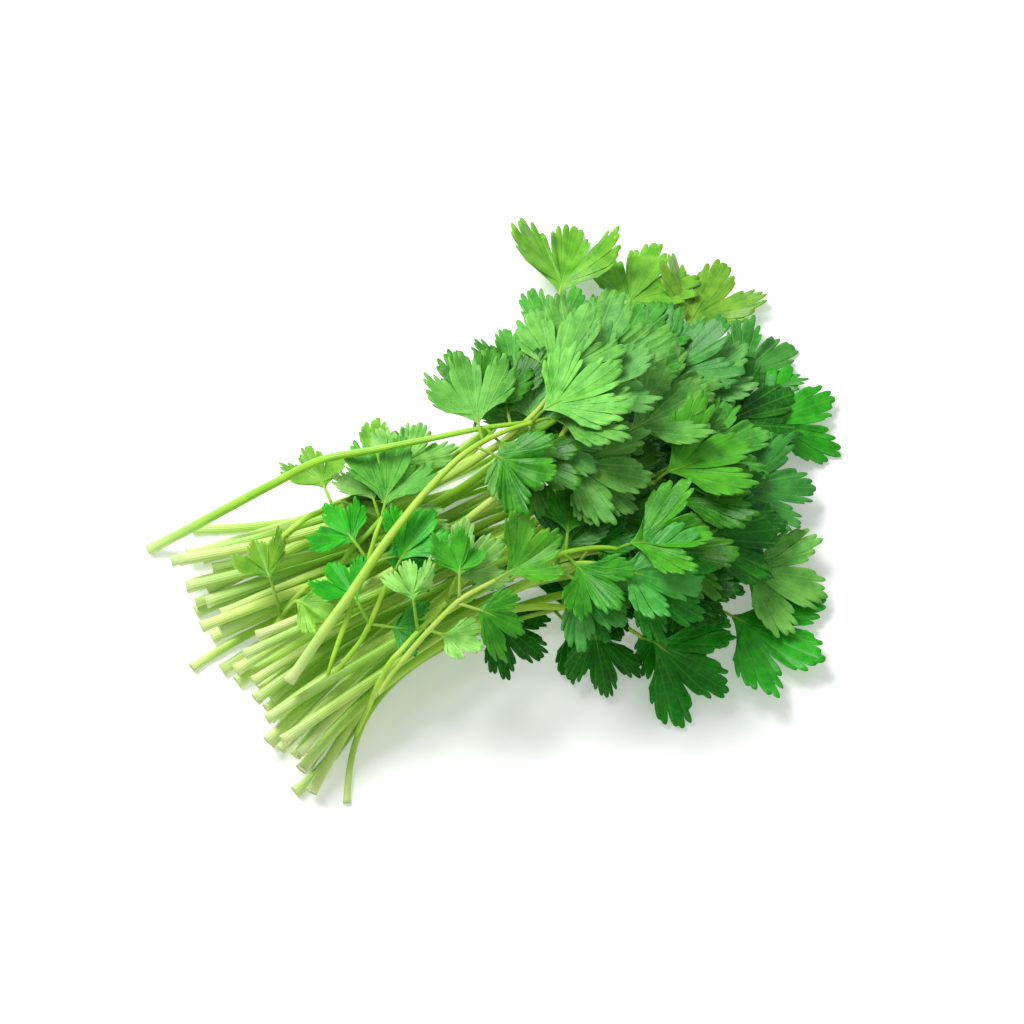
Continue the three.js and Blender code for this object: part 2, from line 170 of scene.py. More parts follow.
class LeafDraw(IntEnum):
    """What is drawn for a leaflet."""

    BACK = 1
    TURN = 2
    SIZE = 3
    CLIMB = 4
    BANK = 5
    CUP = 6
    DROOP = 8
    LIGHT = 20
    WARM = 21
    PALE = 22
    SEED = 25
    TURNED = 26


class Slot(Enum):
    """The material slots of a leafy stem, in the order that its faces number them."""

    UPPER = 0
    UNDER = 1
    STALK = 2
    CUT = 3


@dataclass(frozen=True)
class StemPlan:
    """One leafy stem as planned: its route over the table and its leaflets' size, in millimetres."""

    name: str
    radius: float
    cut: Point
    low: Point
    high: Point
    tip: Point
    size: float = 38.0
    leaflets: int = 3
    hue: Hue = Hue.FRESH
    shows_under: float = 0.3

    @property
    def kind(self) -> str:
        """The first word of its name, such as young or bare."""
        return self.name.split("_")[0]

    @property
    def reach(self) -> float:
        """How far the tip lies from the waist."""
        return math.hypot(self.tip[0] - WAIST_X, self.tip[1] - WAIST_Y)


def draw(stem: int, leaflet: int, use: int, low: float, high: float) -> float:
    """A repeatable draw: the fraction of a large sine of the three numbers, spread from low to high.

    Args:
        stem: Number of the stem.
        leaflet: Number of the leaflet on it.
        use: What is drawn, one of StemDraw or LeafDraw.
        low: Lowest value.
        high: Highest value.

    Returns:
        The value drawn.
    """
    of_stem, of_leaflet, of_use = DRAW_WEIGHTS
    wave = math.sin(stem * of_stem + leaflet * of_leaflet + use * of_use) * DRAW_HEIGHT
    return low + (high - low) * (wave - math.floor(wave))


def lerp(a: Number, b: Number, share: Number) -> Number:
    """The value that lies a share of the way from a to b."""
    return a + (b - a) * share


INNER_HUES = (Hue.SHADED_GREEN, Hue.FRESH, Hue.DEEP, Hue.FRESH, Hue.BLUISH)
INNER_UNDERS = (0.0, 0.8)


def inner_stem(i: int) -> StemPlan:
    """One of the inner stems, which lie in layers, each a fan from the cut ends through the waist.

    Args:
        i: Number of the inner stem.

    Returns:
        Its plan. Near and far tips are mixed by a golden step.
    """
    layer = i // STEMS_A_LAYER
    scatter = draw(i, 0, StemDraw.LANE, -LANE_SCATTER, LANE_SCATTER)
    stagger = LANE_START + LANE_STAGGER * (layer / LAYERS) + scatter
    lane = (2 * ((i % STEMS_A_LAYER) + stagger)) / STEMS_A_LAYER - 1
    turn = math.radians(lane * FAN_DEGREES)
    share = (i * TIP_STEP + TIP_START) % 1
    far = lerp(NEAR_TIP, FAR_TIP, share) * (1 - SIDE_TIP_LOSS * abs(lane))
    bow = BOW_SHARE * far
    middle_y = WAIST_Y + NEAR_SHIFT * (1 - share)
    cut_x = CUT_X - CUT_LEAN * lane + draw(i, 0, StemDraw.CUT, -CUT_SCATTER, CUT_SCATTER)
    waist = draw(i, 0, StemDraw.WAIST, -WAIST_SCATTER, WAIST_SCATTER)
    low_y = middle_y + lane * WAIST_HALF_WIDTH + waist
    return StemPlan(
        name=f"leafy_stem_{i + 1:02d}",
        radius=draw(i, 0, StemDraw.RADIUS, *RADIUS_RANGE),
        cut=(cut_x, CUT_Y + lane * CUT_HALF_WIDTH),
        low=(WAIST_X - WAIST_BACK, low_y),
        high=(WAIST_X + bow * math.cos(turn), middle_y + bow * math.sin(turn)),
        tip=(WAIST_X + far * math.cos(turn), middle_y + far * math.sin(turn)),
        size=draw(i, 0, StemDraw.SIZE, *SIZE_RANGE),
        hue=INNER_HUES[i % len(INNER_HUES)],
        shows_under=lerp(*INNER_UNDERS, 0.5 + 0.5 * lane),
    )


EDGE_STEMS = (
    StemPlan("edge_stem_upper", 2.1, (-127, 42), (-98, 30), (-30, 10), (52, 38), 34),
    StemPlan("edge_stem_stub", 2.1, (-136, 19), (-106, 16), (-20, 6), (78, -2), 34, hue=Hue.SHADED_GREEN),
    StemPlan("edge_stem_low_left", 2.0, (-149, -17), (-120, -8), (-30, 4), (66, -36), 34, hue=Hue.SHADED_GREEN),
    StemPlan("edge_stem_hooked", 2.4, (-129, -84), (-98, -76), (-74, -36), (-12, -32), 34, hue=Hue.SHADED_GREEN),
    StemPlan("edge_stem_thin", 1.4, (-111, -96), (-98, -66), (-76, -34), (20, -54), 34, hue=Hue.SHADED_GREEN),
)

BARE_STEMS = (
    StemPlan("bare_stem_1", 2.3, (-128, 28), (-88, 24), (-50, 12), (14, 14), 0, 0),
    StemPlan("bare_stem_2", 2.4, (-139, 6), (-96, 8), (-54, 0), (20, 2), 0, 0),
    StemPlan("bare_stem_3", 2.5, (-137, -8), (-92, -6), (-52, -4), (24, -10), 0, 0),
    StemPlan("bare_stem_4", 2.4, (-134, -30), (-90, -20), (-56, -10), (18, -22), 0, 0),
    StemPlan("bare_stem_5", 2.5, (-127, -46), (-90, -34), (-54, -18), (10, -30), 0, 0),
    StemPlan("bare_stem_6", 2.4, (-131, -60), (-92, -44), (-62, -24), (2, -16), 0, 0),
    StemPlan("bare_stem_7", 2.5, (-121, -76), (-92, -58), (-64, -34), (-4, -36), 0, 0),
    StemPlan("bare_stem_8", 2.3, (-123, -88), (-98, -66), (-70, -42), (-10, -24), 0, 0),
)

SHOWY_STEMS = (
    StemPlan("showy_stem_upper_sprig", 1.9, (-138, 8), (-40, 0), (24, 34), (53, 79), 39, 1, Hue.SUNLIT, 0),
    StemPlan("showy_stem_upper_middle", 2.2, (-128, -8), (-30, 0), (48, 34), (76, 62), hue=Hue.SUNLIT),
    StemPlan("showy_stem_upper_right", 2.2, (-126, 20), (-30, 6), (68, 18), (98, 48), hue=Hue.SUNLIT),
    StemPlan("showy_stem_right_high", 2.1, (-124, -44), (-30, -8), (74, 2), (104, 17), 34, hue=Hue.BLUISH),
    StemPlan("showy_stem_right_tip", 2.2, (-132, -62), (-34, -12), (70, -20), (104, -8), hue=Hue.VIVID),
    StemPlan("showy_stem_right_low", 2.3, (-124, -72), (-34, -18), (56, -38), (72, -62)),
    StemPlan("showy_stem_low_right", 2.4, (-124, -80), (-40, -26), (42, -44), (62, -77), 44, hue=Hue.VIVID),
    StemPlan("showy_stem_low_middle", 2.1, (-120, -66), (-44, -34), (6, -43), (27, -77), hue=Hue.SHADED_GREEN),
    StemPlan("showy_stem_big_pale", 2.0, (-122, -26), (-40, -30), (20, -16), (32, 12), 46, shows_under=1),
    StemPlan("showy_stem_middle", 2.1, (-130, -74), (-50, -34), (14, -22), (52, -28), 40),
    StemPlan("showy_stem_blue_green", 2.0, (-134, 30), (-30, 6), (40, 4), (70, 24), 42, hue=Hue.BLUISH),
)

YOUNG_STEMS = (
    StemPlan("young_stem_left_back", 1.4, (-104, 8), (-86, 13), (-71, 18), (-57, 24), 29, hue=Hue.SUNLIT),
    StemPlan(
        "young_stem_left_high", 1.3, (-96, -14), (-76, -12), (-54, -8), (-47, 7), 29,
        hue=Hue.SUNLIT, shows_under=1,
    ),
    StemPlan("young_stem_pale_pair", 1.2, (-102, -54), (-88, -38), (-70, -20), (-59, -6), 30, hue=Hue.VIVID),
    StemPlan(
        "young_stem_left_front", 1.3, (-122, -20), (-113, -17), (-103, -13), (-93, -9), 23,
        hue=Hue.SUNLIT,
    ),
    StemPlan("young_stem_dark_curl", 1.3, (-104, -58), (-92, -52), (-77, -42), (-64, -32), 26, hue=Hue.VIVID),
    StemPlan(
        "young_stem_front", 1.3, (-98, -72), (-80, -64), (-62, -55), (-47, -47), 26,
        hue=Hue.SUNLIT, shows_under=1,
    ),
    StemPlan("young_stem_front_low", 1.2, (-86, -70), (-72, -62), (-50, -54), (-28, -52), 27, hue=Hue.FRESH),
)

ARCHED_STEMS = (
    StemPlan("showy_stem_pale_bow", 2.2, (-147, 40), (-106, 34), (-46, 17), (12, 3), shows_under=0.8),
    StemPlan("showy_stem_bent", 2.1, (-118, -54), (-66, -30), (-34, 8), (10, 2), shows_under=0.9),
)


class Heap:
    """The top of what lies at each place on the table, in square cells, in millimetres."""

    CELL = 1.1
    HALF_X = 176.0
    HALF_Y = 160.0

    def __init__(self) -> None:
        """Starts with a bare table."""
        rows = math.ceil(2 * self.HALF_Y / self.CELL)
        columns = round(2 * self.HALF_X / self.CELL)
        self.tops = np.zeros((rows, columns))

    def _cells(self, points: np.ndarray) -> tuple[np.ndarray, np.ndarray]:
        """The row and the column of the cell under each point."""
        row = np.floor((points[..., 1] + self.HALF_Y) / self.CELL).astype(int)
        column = np.floor((points[..., 0] + self.HALF_X) / self.CELL).astype(int)
        return row, column

    def raise_to(self, points: np.ndarray) -> None:
        """Raises the cells under the points, and those next to them, to the points' heights."""
        row, column = self._cells(points)
        for down in (-1, 0, 1):
            for right in (-1, 0, 1):
                np.maximum.at(self.tops, (row + down, column + right), points[..., 2])

    def top(self, points: np.ndarray) -> np.ndarray:
        """The top of the heap under each point."""
        return self.tops[self._cells(points)]


def width_points(xy: np.ndarray, z: np.ndarray, radii: np.ndarray) -> np.ndarray:
    """Three points across a line at each of its steps, at the height of its top.

    Args:
        xy: The line in plan, n by 2.
        z: Its heights.
        radii: Its radii.

    Returns:
        An array of n by 3 points by 3 coordinates.
    """
    steps = np.diff(xy, axis=0)
    heading = np.arctan2(steps[:, 1], steps[:, 0])
    heading = np.concatenate([heading[:1], heading])
    across = radii[:, None] * np.array([-1.0, 0.0, 1.0])
    x = xy[:, 0, None] - across * np.sin(heading)[:, None]
    y = xy[:, 1, None] + across * np.cos(heading)[:, None]
    return np.stack([x, y, np.broadcast_to((z + radii)[:, None], x.shape)], axis=-1)


@dataclass
class Leaflet:
    """One leaflet on its stalk, and how it lies once it is draped over what is below it.

    A place on the blade is given by an angle from its axis and a distance from its base.
    """

    TIP_CORNER = 6

    number: int
    root: np.ndarray
    heading: float
    stalk: int
    size: float
    climb: float
    bank: float
    cup: float
    droop: float
    fold: np.ndarray = field(default_factory=lambda: np.zeros(3))
    rim: np.ndarray = field(default_factory=lambda: np.zeros((0, 3)))
    half: float = 0.0
    corners: np.ndarray = field(default_factory=lambda: np.zeros(0, int))
    shares: np.ndarray = field(default_factory=lambda: np.zeros(0))
    between: np.ndarray = field(default_factory=lambda: np.zeros(0))

    def point(self, degrees: np.ndarray, far: np.ndarray) -> np.ndarray:
        """Points of the free blade, with their heights over its base.

        The blade slopes along its axis and across it, and bends down with the square of both distances.

        Args:
            degrees: Angles from the axis.
            far: Distances from the blade's base.

        Returns:
            An array with 3 coordinates for each place.
        """
        along = far * np.cos(np.radians(degrees))
        across = far * np.sin(np.radians(degrees))
        out = self.stalk + along * math.cos(math.atan(self.climb))
        side = across * math.cos(math.atan(self.bank))
        x = self.root[0] + out * math.cos(self.heading) - side * math.sin(self.heading)
        y = self.root[1] + out * math.sin(self.heading) + side * math.cos(self.heading)
        bend = (self.cup * across * across + self.droop * along * along) / self.size
        return np.stack([x, y, along * self.climb + side * self.bank - bend], axis=-1)

    def _sample(self) -> None:
        """Spreads samples over the facets between the fold and the rim, about one spacing apart."""
        corners, shares, between = [], [], []
        for k, corner in enumerate(self.rim):
            following = self.rim[(k + 1) % len(self.rim)]
            reach = max(np.linalg.norm(self.fold - corner), np.linalg.norm(self.fold - following))
            rings = math.ceil(reach / SAMPLE_SPACING)
            share = np.arange(1, rings + 1) / rings
            steps = np.ceil(np.linalg.norm(corner - following) * share / SAMPLE_SPACING).astype(int)
            ring = np.repeat(np.arange(rings), steps + 1)
            first = np.repeat(np.cumsum(steps + 1) - (steps + 1), steps + 1)
            corners.append(np.full(len(ring), k))
            shares.append(share[ring])
            between.append((np.arange(len(ring)) - first) / steps[ring])
        self.corners = np.concatenate(corners)
        self.shares = np.concatenate(shares)
        self.between = np.concatenate(between)

    def sample_points(self) -> np.ndarray:
        """The samples' points, on the facets as they lie now."""
        following = self.rim[(self.corners + 1) % len(self.rim)]
        edge = lerp(self.rim[self.corners], following, self.between[:, None])
        return lerp(self.fold, edge, self.shares[:, None])

    def drape(self, heaps: list[Heap], own: Heap) -> bool:
        """Raises the fold and the rim's corners where the free blade would sink into what lies below it.

        Args:
            heaps: What is laid already.
            own: The heap of the leaflet's own stem, which may be touched near the blade's base.

        Returns:
            False where the stalk would be too steep.
        """
        zero = np.zeros(1)
        base = self.point(zero, zero)
        self.fold = self.point(zero, zero + FOLD * self.size)[0]
        self.rim = np.concatenate([base, self.point(LOBE_ANGLES, LOBE_REACH * self.size)])
        self.half = 0.5 * BLADE_THICKNESS * math.hypot(1, self.climb, self.bank)
        self._sample()
        places = self.sample_points()
        near_root = np.hypot(*(places - base[0])[:, :2].T) < ROOT_FREE
        below = np.max([heap.top(places) for heap in heaps], axis=0)
        below = np.maximum(below, np.where(near_root, 0.0, own.top(places)))
        rest = np.where(below > 0, below + BLADE_GAP + self.half, self.half)
        out = np.hypot(*(places - self.fold)[:, :2].T)
        share = lerp(STALK_FREE, 1.0, np.arange(1, self.stalk + 1) / self.stalk)
        along = lerp(self.root, base[0], share[:, None])
        under_stalk = np.max([heap.top(along) for heap in heaps], axis=0)
        needed = np.where(under_stalk > 0, under_stalk + BLADE_GAP + self.half, self.half)
        base_z = max(self.root[2], np.max(self.root[2] + (needed + STALK_RADIUS - self.root[2]) / share))
        self.fold[2] = max(base_z, np.max(rest - MOST_CLIMB * out))
        self.rim[:, 2] += self.fold[2]
        edge_z = (rest - (1 - self.shares) * self.fold[2]) / self.shares
        heights = self.rim[:, 2].copy()
        np.maximum.at(heights, self.corners, edge_z)
        np.maximum.at(heights, (self.corners + 1) % len(heights), edge_z)
        self.rim[:, 2] = heights
        return self.rim[0, 2] - self.root[2] <= MOST_STALK_CLIMB * self.stalk

    def heap_on(self, heap: Heap) -> None:
        """Raises a heap by the stalk and the blade."""
        steps = math.ceil(self.stalk / SAMPLE_SPACING)
        share = np.arange(1, steps + 1) / steps
        heap.raise_to(lerp(self.root, self.rim[0], share[:, None]) + [0, 0, STALK_RADIUS])
        heap.raise_to(self.sample_points() + [0, 0, self.half])


@dataclass
class LaidStem:
    """One stem as it lies: its knots, its fine line and its leaflets."""

    plan: StemPlan
    number: int
    knots: np.ndarray
    line: np.ndarray
    radii: np.ndarray
    leaflets: list[Leaflet] = field(default_factory=list)

    def heap_on(self, heap: Heap) -> None:
        """Raises a heap by the stem."""
        heap.raise_to(width_points(self.line[:, :2], self.line[:, 2], self.radii))

    def point_back(self, distance: float) -> tuple[np.ndarray, float]:
        """The point of the line at a distance back from its tip.

        Args:
            distance: How far back, in plan.

        Returns:
            The point, and the heading there.
        """
        steps = np.hypot(*np.diff(self.line[:, :2], axis=0).T)
        k = len(self.line) - 1
        while distance > steps[k - 1]:
            distance -= steps[k - 1]
            k -= 1
        before, after = self.line[k - 1], self.line[k]
        heading = math.atan2(after[1] - before[1], after[0] - before[0])
        return lerp(after, before, distance / steps[k - 1]), heading

    def free_leaflets(self, liveliness: float) -> list[Leaflet]:
        """The leaflets, each the way it would lie if nothing were below it.

        Args:
            liveliness: How strongly their slopes vary, from 0 to 1.

        Returns:
            As many as the stem has: the leaflet at the tip comes last, and its pair before it.
        """
        plan, n = self.plan, self.number
        made = []
        for k, side in ((1, -1), (2, 1)):
            scatter = draw(n, k, LeafDraw.BACK, -PAIR_BACK_SCATTER, PAIR_BACK_SCATTER)
            turn = side * PAIR_TURN + draw(n, k, LeafDraw.TURN, -TURN_SCATTER, TURN_SCATTER)
            size = plan.size * PAIR_SIZE * draw(n, k, LeafDraw.SIZE, *PAIR_SIZE_RANGE)
            made.append((k, plan.size * PAIR_BACK + scatter, turn, PAIR_STALK, size))
        turn = draw(n, 0, LeafDraw.TURN, -TURN_SCATTER, TURN_SCATTER)
        made.append((0, TIP_BACK, turn, TIP_STALK, plan.size))
        leaflets = []
        for k, back, turn, stalk, size in made[len(made) - plan.leaflets:]:
            root, heading = self.point_back(back)
            leaflets.append(Leaflet(
                number=k,
                root=root,
                heading=heading + math.radians(turn),
                stalk=stalk,
                size=size,
                climb=draw(n, k, LeafDraw.CLIMB, *CLIMB_RANGE) * liveliness,
                bank=draw(n, k, LeafDraw.BANK, *BANK_RANGE) * liveliness,
                cup=draw(n, k, LeafDraw.CUP, *CUP_RANGE),
                droop=draw(n, k, LeafDraw.DROOP, *DROOP_RANGE),
            ))
        return leaflets


def bezier(plan: StemPlan, t: np.ndarray) -> np.ndarray:
    """Points of the cubic Bezier curve in plan through a stem's cut, low, high and tip points."""
    a, b, c, d = (np.array(p, float) for p in (plan.cut, plan.low, plan.high, plan.tip))
    t = t[:, None]
    return (1 - t) ** 3 * a + 3 * (1 - t) ** 2 * t * b + 3 * (1 - t) * t ** 2 * c + t ** 3 * d


class Bunch:
    """All the leafy stems, laid from the table up, each with its leaflets before the next."""

    COVERED_FROM = 2.5

    def __init__(self) -> None:
        """Lays every stem: edge and bare ones, those that reach far, young and arched ones."""
        inner = [inner_stem(i) for i in range(LAYERS * STEMS_A_LAYER)]
        from_far = sorted([*inner, *SHOWY_STEMS], key=lambda plan: -plan.reach)
        plans = [*EDGE_STEMS, *BARE_STEMS, *from_far, *YOUNG_STEMS, *ARCHED_STEMS]
        self.stem_heap, self.leaf_heap = Heap(), Heap()
        self.stems: list[LaidStem] = []
        for number, plan in enumerate(plans):
            stem = self._lay(plan, number)
            own = Heap()
            stem.heap_on(own)
            for leaf in stem.free_leaflets(lerp(CALMEST, 1, number / len(plans))):
                if leaf.drape([self.stem_heap, self.leaf_heap], own):
                    leaf.heap_on(own)
                    stem.leaflets.append(leaf)
            for leaf in stem.leaflets:
                leaf.heap_on(self.leaf_heap)
            stem.heap_on(self.stem_heap)
            self.stems.append(stem)

    def _lay(self, plan: StemPlan, number: int) -> LaidStem:
        """Lays one stem on the table, on leaves and in the grooves between the stems before it.

        Args:
            plan: The stem's plan.
            number: Its place in the order of laying.

        Returns:
            The stem. Each of its straight segments keeps to its highest step, and it spans the hollows.
        """
        knots = bezier(plan, np.linspace(0, 1, STEM_SEGMENTS + 1))
        steps = np.arange(STEM_SEGMENTS * FINE_STEPS + 1)
        before = np.minimum(steps // FINE_STEPS, STEM_SEGMENTS - 1)
        share = steps / FINE_STEPS - before
        xy = lerp(knots[before], knots[before + 1], share[:, None])
        radii = lerp(plan.radius, TIP_RADIUS, (steps / steps[-1]) ** TAPER)
        rest = np.maximum(radii * math.cos(math.pi / STEM_SIDES) - TABLE_PRESS, STALK_RADIUS)
        leaves = self.leaf_heap.top(width_points(xy, np.zeros(len(xy)), radii)).max(axis=1)
        rest = np.maximum(rest, np.where(leaves > 0, leaves + STEM_GAP + radii, 0.0))
        for other in self.stems:
            apart = ((xy[:, None] - other.line[None, :, :2]) ** 2).sum(axis=-1)
            reach = (radii[:, None] + other.radii[None] + STEM_GAP) ** 2
            groove = other.line[None, :, 2] + np.sqrt(np.maximum(reach - apart, 0.0))
            rest = np.maximum(rest, np.where(apart < reach, groove, 0.0).max(axis=1))
        heights = np.array([
            rest[max(0, (k - 1) * FINE_STEPS):(k + 1) * FINE_STEPS + 1].max()
            for k in range(STEM_SEGMENTS + 1)
        ])
        for _ in range(STIFFENING):
            for k in range(1, STEM_SEGMENTS):
                heights[k] = max(heights[k], (heights[k - 1] + heights[k + 1]) / 2)
        heights[0] = max(heights[0], heights[1] - END_SAG)
        heights[-1] = max(heights[-1], heights[-2] - END_SAG)
        z = lerp(heights[before], heights[before + 1], share)
        return LaidStem(plan, number, np.column_stack([knots, heights]), np.column_stack([xy, z]), radii)

    def openness(self, leaf: Leaflet) -> float:
        """The share of a leaflet that nothing lies on, from a little above it, in millimetres, up."""
        places = leaf.sample_points()
        above = np.maximum(self.stem_heap.top(places), self.leaf_heap.top(places))
        return float(np.mean(above < places[:, 2] + self.COVERED_FROM))


class Shell:
    """A mesh in the making: triangles with their slot, shading, UV place and colour."""

    def __init__(self) -> None:
        """Starts empty."""
        self.points: list[np.ndarray] = []
        self.uvs: list[np.ndarray] = []
        self.colours: list[np.ndarray] = []
        self.edges: list[np.ndarray] = []
        self.triangles: list[np.ndarray] = []
        self.slots: list[np.ndarray] = []
        self.smooth: list[np.ndarray] = []
        self.count = 0

    def add_points(self, points: np.ndarray, uv: np.ndarray, colour: Colour, edge: np.ndarray) -> int:
        """Adds vertices.

        Args:
            points: Their places in millimetres, n by 3.
            uv: Their places in the pattern, n by 2.
            colour: One colour for all of them.
            edge: How near each is to an edge or a cut, from 0 to 1.

        Returns:
            The number of the first of them.
        """
        first = self.count
        self.points.append(points)
        self.uvs.append(uv)
        self.colours.append(np.broadcast_to(np.array([*colour, 1.0]), (len(points), 4)))
        self.edges.append(edge)
        self.count += len(points)
        return first

    def add_triangles(self, triangles: np.ndarray, slot: Slot, smooth: bool = True) -> None:
        """Adds faces, n by 3 numbers of vertices, in a material slot."""
        self.triangles.append(triangles)
        self.slots.append(np.full(len(triangles), slot.value, np.int32))
        self.smooth.append(np.full(len(triangles), smooth))

    def add_strip(self, first: int, second: int, columns: int, slot: Slot, flip: bool,
                  smooth: bool = True) -> None:
        """Joins two closed rings of vertices by a band of triangles.

        Args:
            first: The first vertex of one ring.
            second: The first vertex of the other ring.
            columns: How many vertices each ring has.
            slot: The material slot.
            flip: Whether the faces look the other way.
            smooth: Whether they are shaded smooth.
        """
        here = np.arange(columns)
        after = (here + 1) % columns
        low = np.column_stack([first + here, first + after, second + after])
        high = np.column_stack([first + here, second + after, second + here])
        both = np.concatenate([low, high])
        self.add_triangles(both[:, ::-1] if flip else both, slot, smooth)

    def add_fan(self, centre: int, ring: int, columns: int, slot: Slot, flip: bool) -> None:
        """Joins a closed ring of vertices to the one in its middle."""
        here = np.arange(columns)
        fan = np.column_stack([np.full(columns, centre), ring + here, ring + (here + 1) % columns])
        self.add_triangles(fan[:, ::-1] if flip else fan, slot)

    def to_object(self, name: str, materials: list[bpy.types.Material]) -> bpy.types.Object:
        """Writes the mesh, in metres and shifted as the solids are.

        Args:
            name: The object's name.
            materials: One for each slot, in the order of Slot.

        Returns:
            The new object.
        """
        points = (np.concatenate(self.points) + CENTRE_SHIFT) * METRES
        triangles = np.concatenate(self.triangles).astype(np.int32)
        mesh = bpy.data.meshes.new(name)
        mesh.vertices.add(len(points))
        mesh.vertices.foreach_set("co", points.astype(np.float32).ravel())
        mesh.loops.add(triangles.size)
        mesh.loops.foreach_set("vertex_index", triangles.ravel())
        mesh.polygons.add(len(triangles))
        mesh.polygons.foreach_set("loop_start", np.arange(0, triangles.size, 3, dtype=np.int32))
        mesh.polygons.foreach_set("material_index", np.concatenate(self.slots))
        mesh.polygons.foreach_set("use_smooth", np.concatenate(self.smooth))
        layer = mesh.uv_layers.new(name="pattern")
        corners = np.concatenate(self.uvs)[triangles.ravel()]
        layer.data.foreach_set("uv", corners.astype(np.float32).ravel())
        tone = mesh.attributes.new("tone", "FLOAT_COLOR", "POINT")
        tone.data.foreach_set("color", np.concatenate(self.colours).astype(np.float32).ravel())
        edge = mesh.attributes.new("edge", "FLOAT", "POINT")
        edge.data.foreach_set("value", np.concatenate(self.edges).astype(np.float32))
        for material in materials:
            mesh.materials.append(material)
        mesh.update(calc_edges=True)
        mesh.validate()
        made = bpy.data.objects.new(name, mesh)
        bpy.context.scene.collection.objects.link(made)
        return made


@dataclass(frozen=True)
class BladeShape:
    """The finer shape of a blade, as shares of its size.

    From the axis outwards, the rim goes through the tip of a tooth and the notch beside it by turns.
    Angles and the lobes' places and width are in degrees. The thicknesses, the gap to the floor and the
    ceiling are in millimetres.
    """

    rim_angles: tuple[float, ...] = (
        0, 2.8, 5.2, 8.0, 10.6, 12.8, 14.8, 19.5, 24.6, 27.2, 29.6, 32.6, 35.6, 38.0, 40.4, 43.4,
        46.4, 49.0, 51.6, 54.2, 56.6, 59, 61)
    rim_reaches: tuple[float, ...] = (
        1.0, 0.94, 0.97, 0.78, 0.91, 0.85, 0.82, 0.42, 0.77, 0.74, 0.88, 0.76, 0.96, 0.9, 0.92, 0.7,
        0.87, 0.81, 0.79, 0.62, 0.67, 0.56, 0.5)
    tooth_steps: tuple[float, ...] = (0.0, 0.1, 0.4, 0.75)
    roundness: float = 0.45
    tooth_vary: float = 0.05
    side_vary: float = 0.07
    back_columns: int = 5
    neck: float = 0.5
    neck_power: float = 0.7
    side_from: float = 20.0
    most_outward: float = 1.1
    drape_from: float = 0.4
    drape_to: float = 0.8
    rings: tuple[float, ...] = (0.25, 0.5, 0.75, 0.9, 1.0)
    thickness: float = 0.4
    rim_thickness: float = 0.16
    pleat: float = 0.006
    pleat_end: float = 1.6
    lobe_places: tuple[float, ...] = (-41.0, 0.0, 41.0)
    lobe_width: float = 20.5
    lobe_bend: float = 0.18
    lobe_tilt: float = 0.12
    ripple: float = 0.035
    ripples: float = 9.0
    tip_curl: float = 0.26
    side_curl: float = 0.42
    crease: float = 0.3
    upward: float = 0.35
    covered_free: float = 0.2
    floor_gap: float = 0.05
    ceiling: float = 86.6


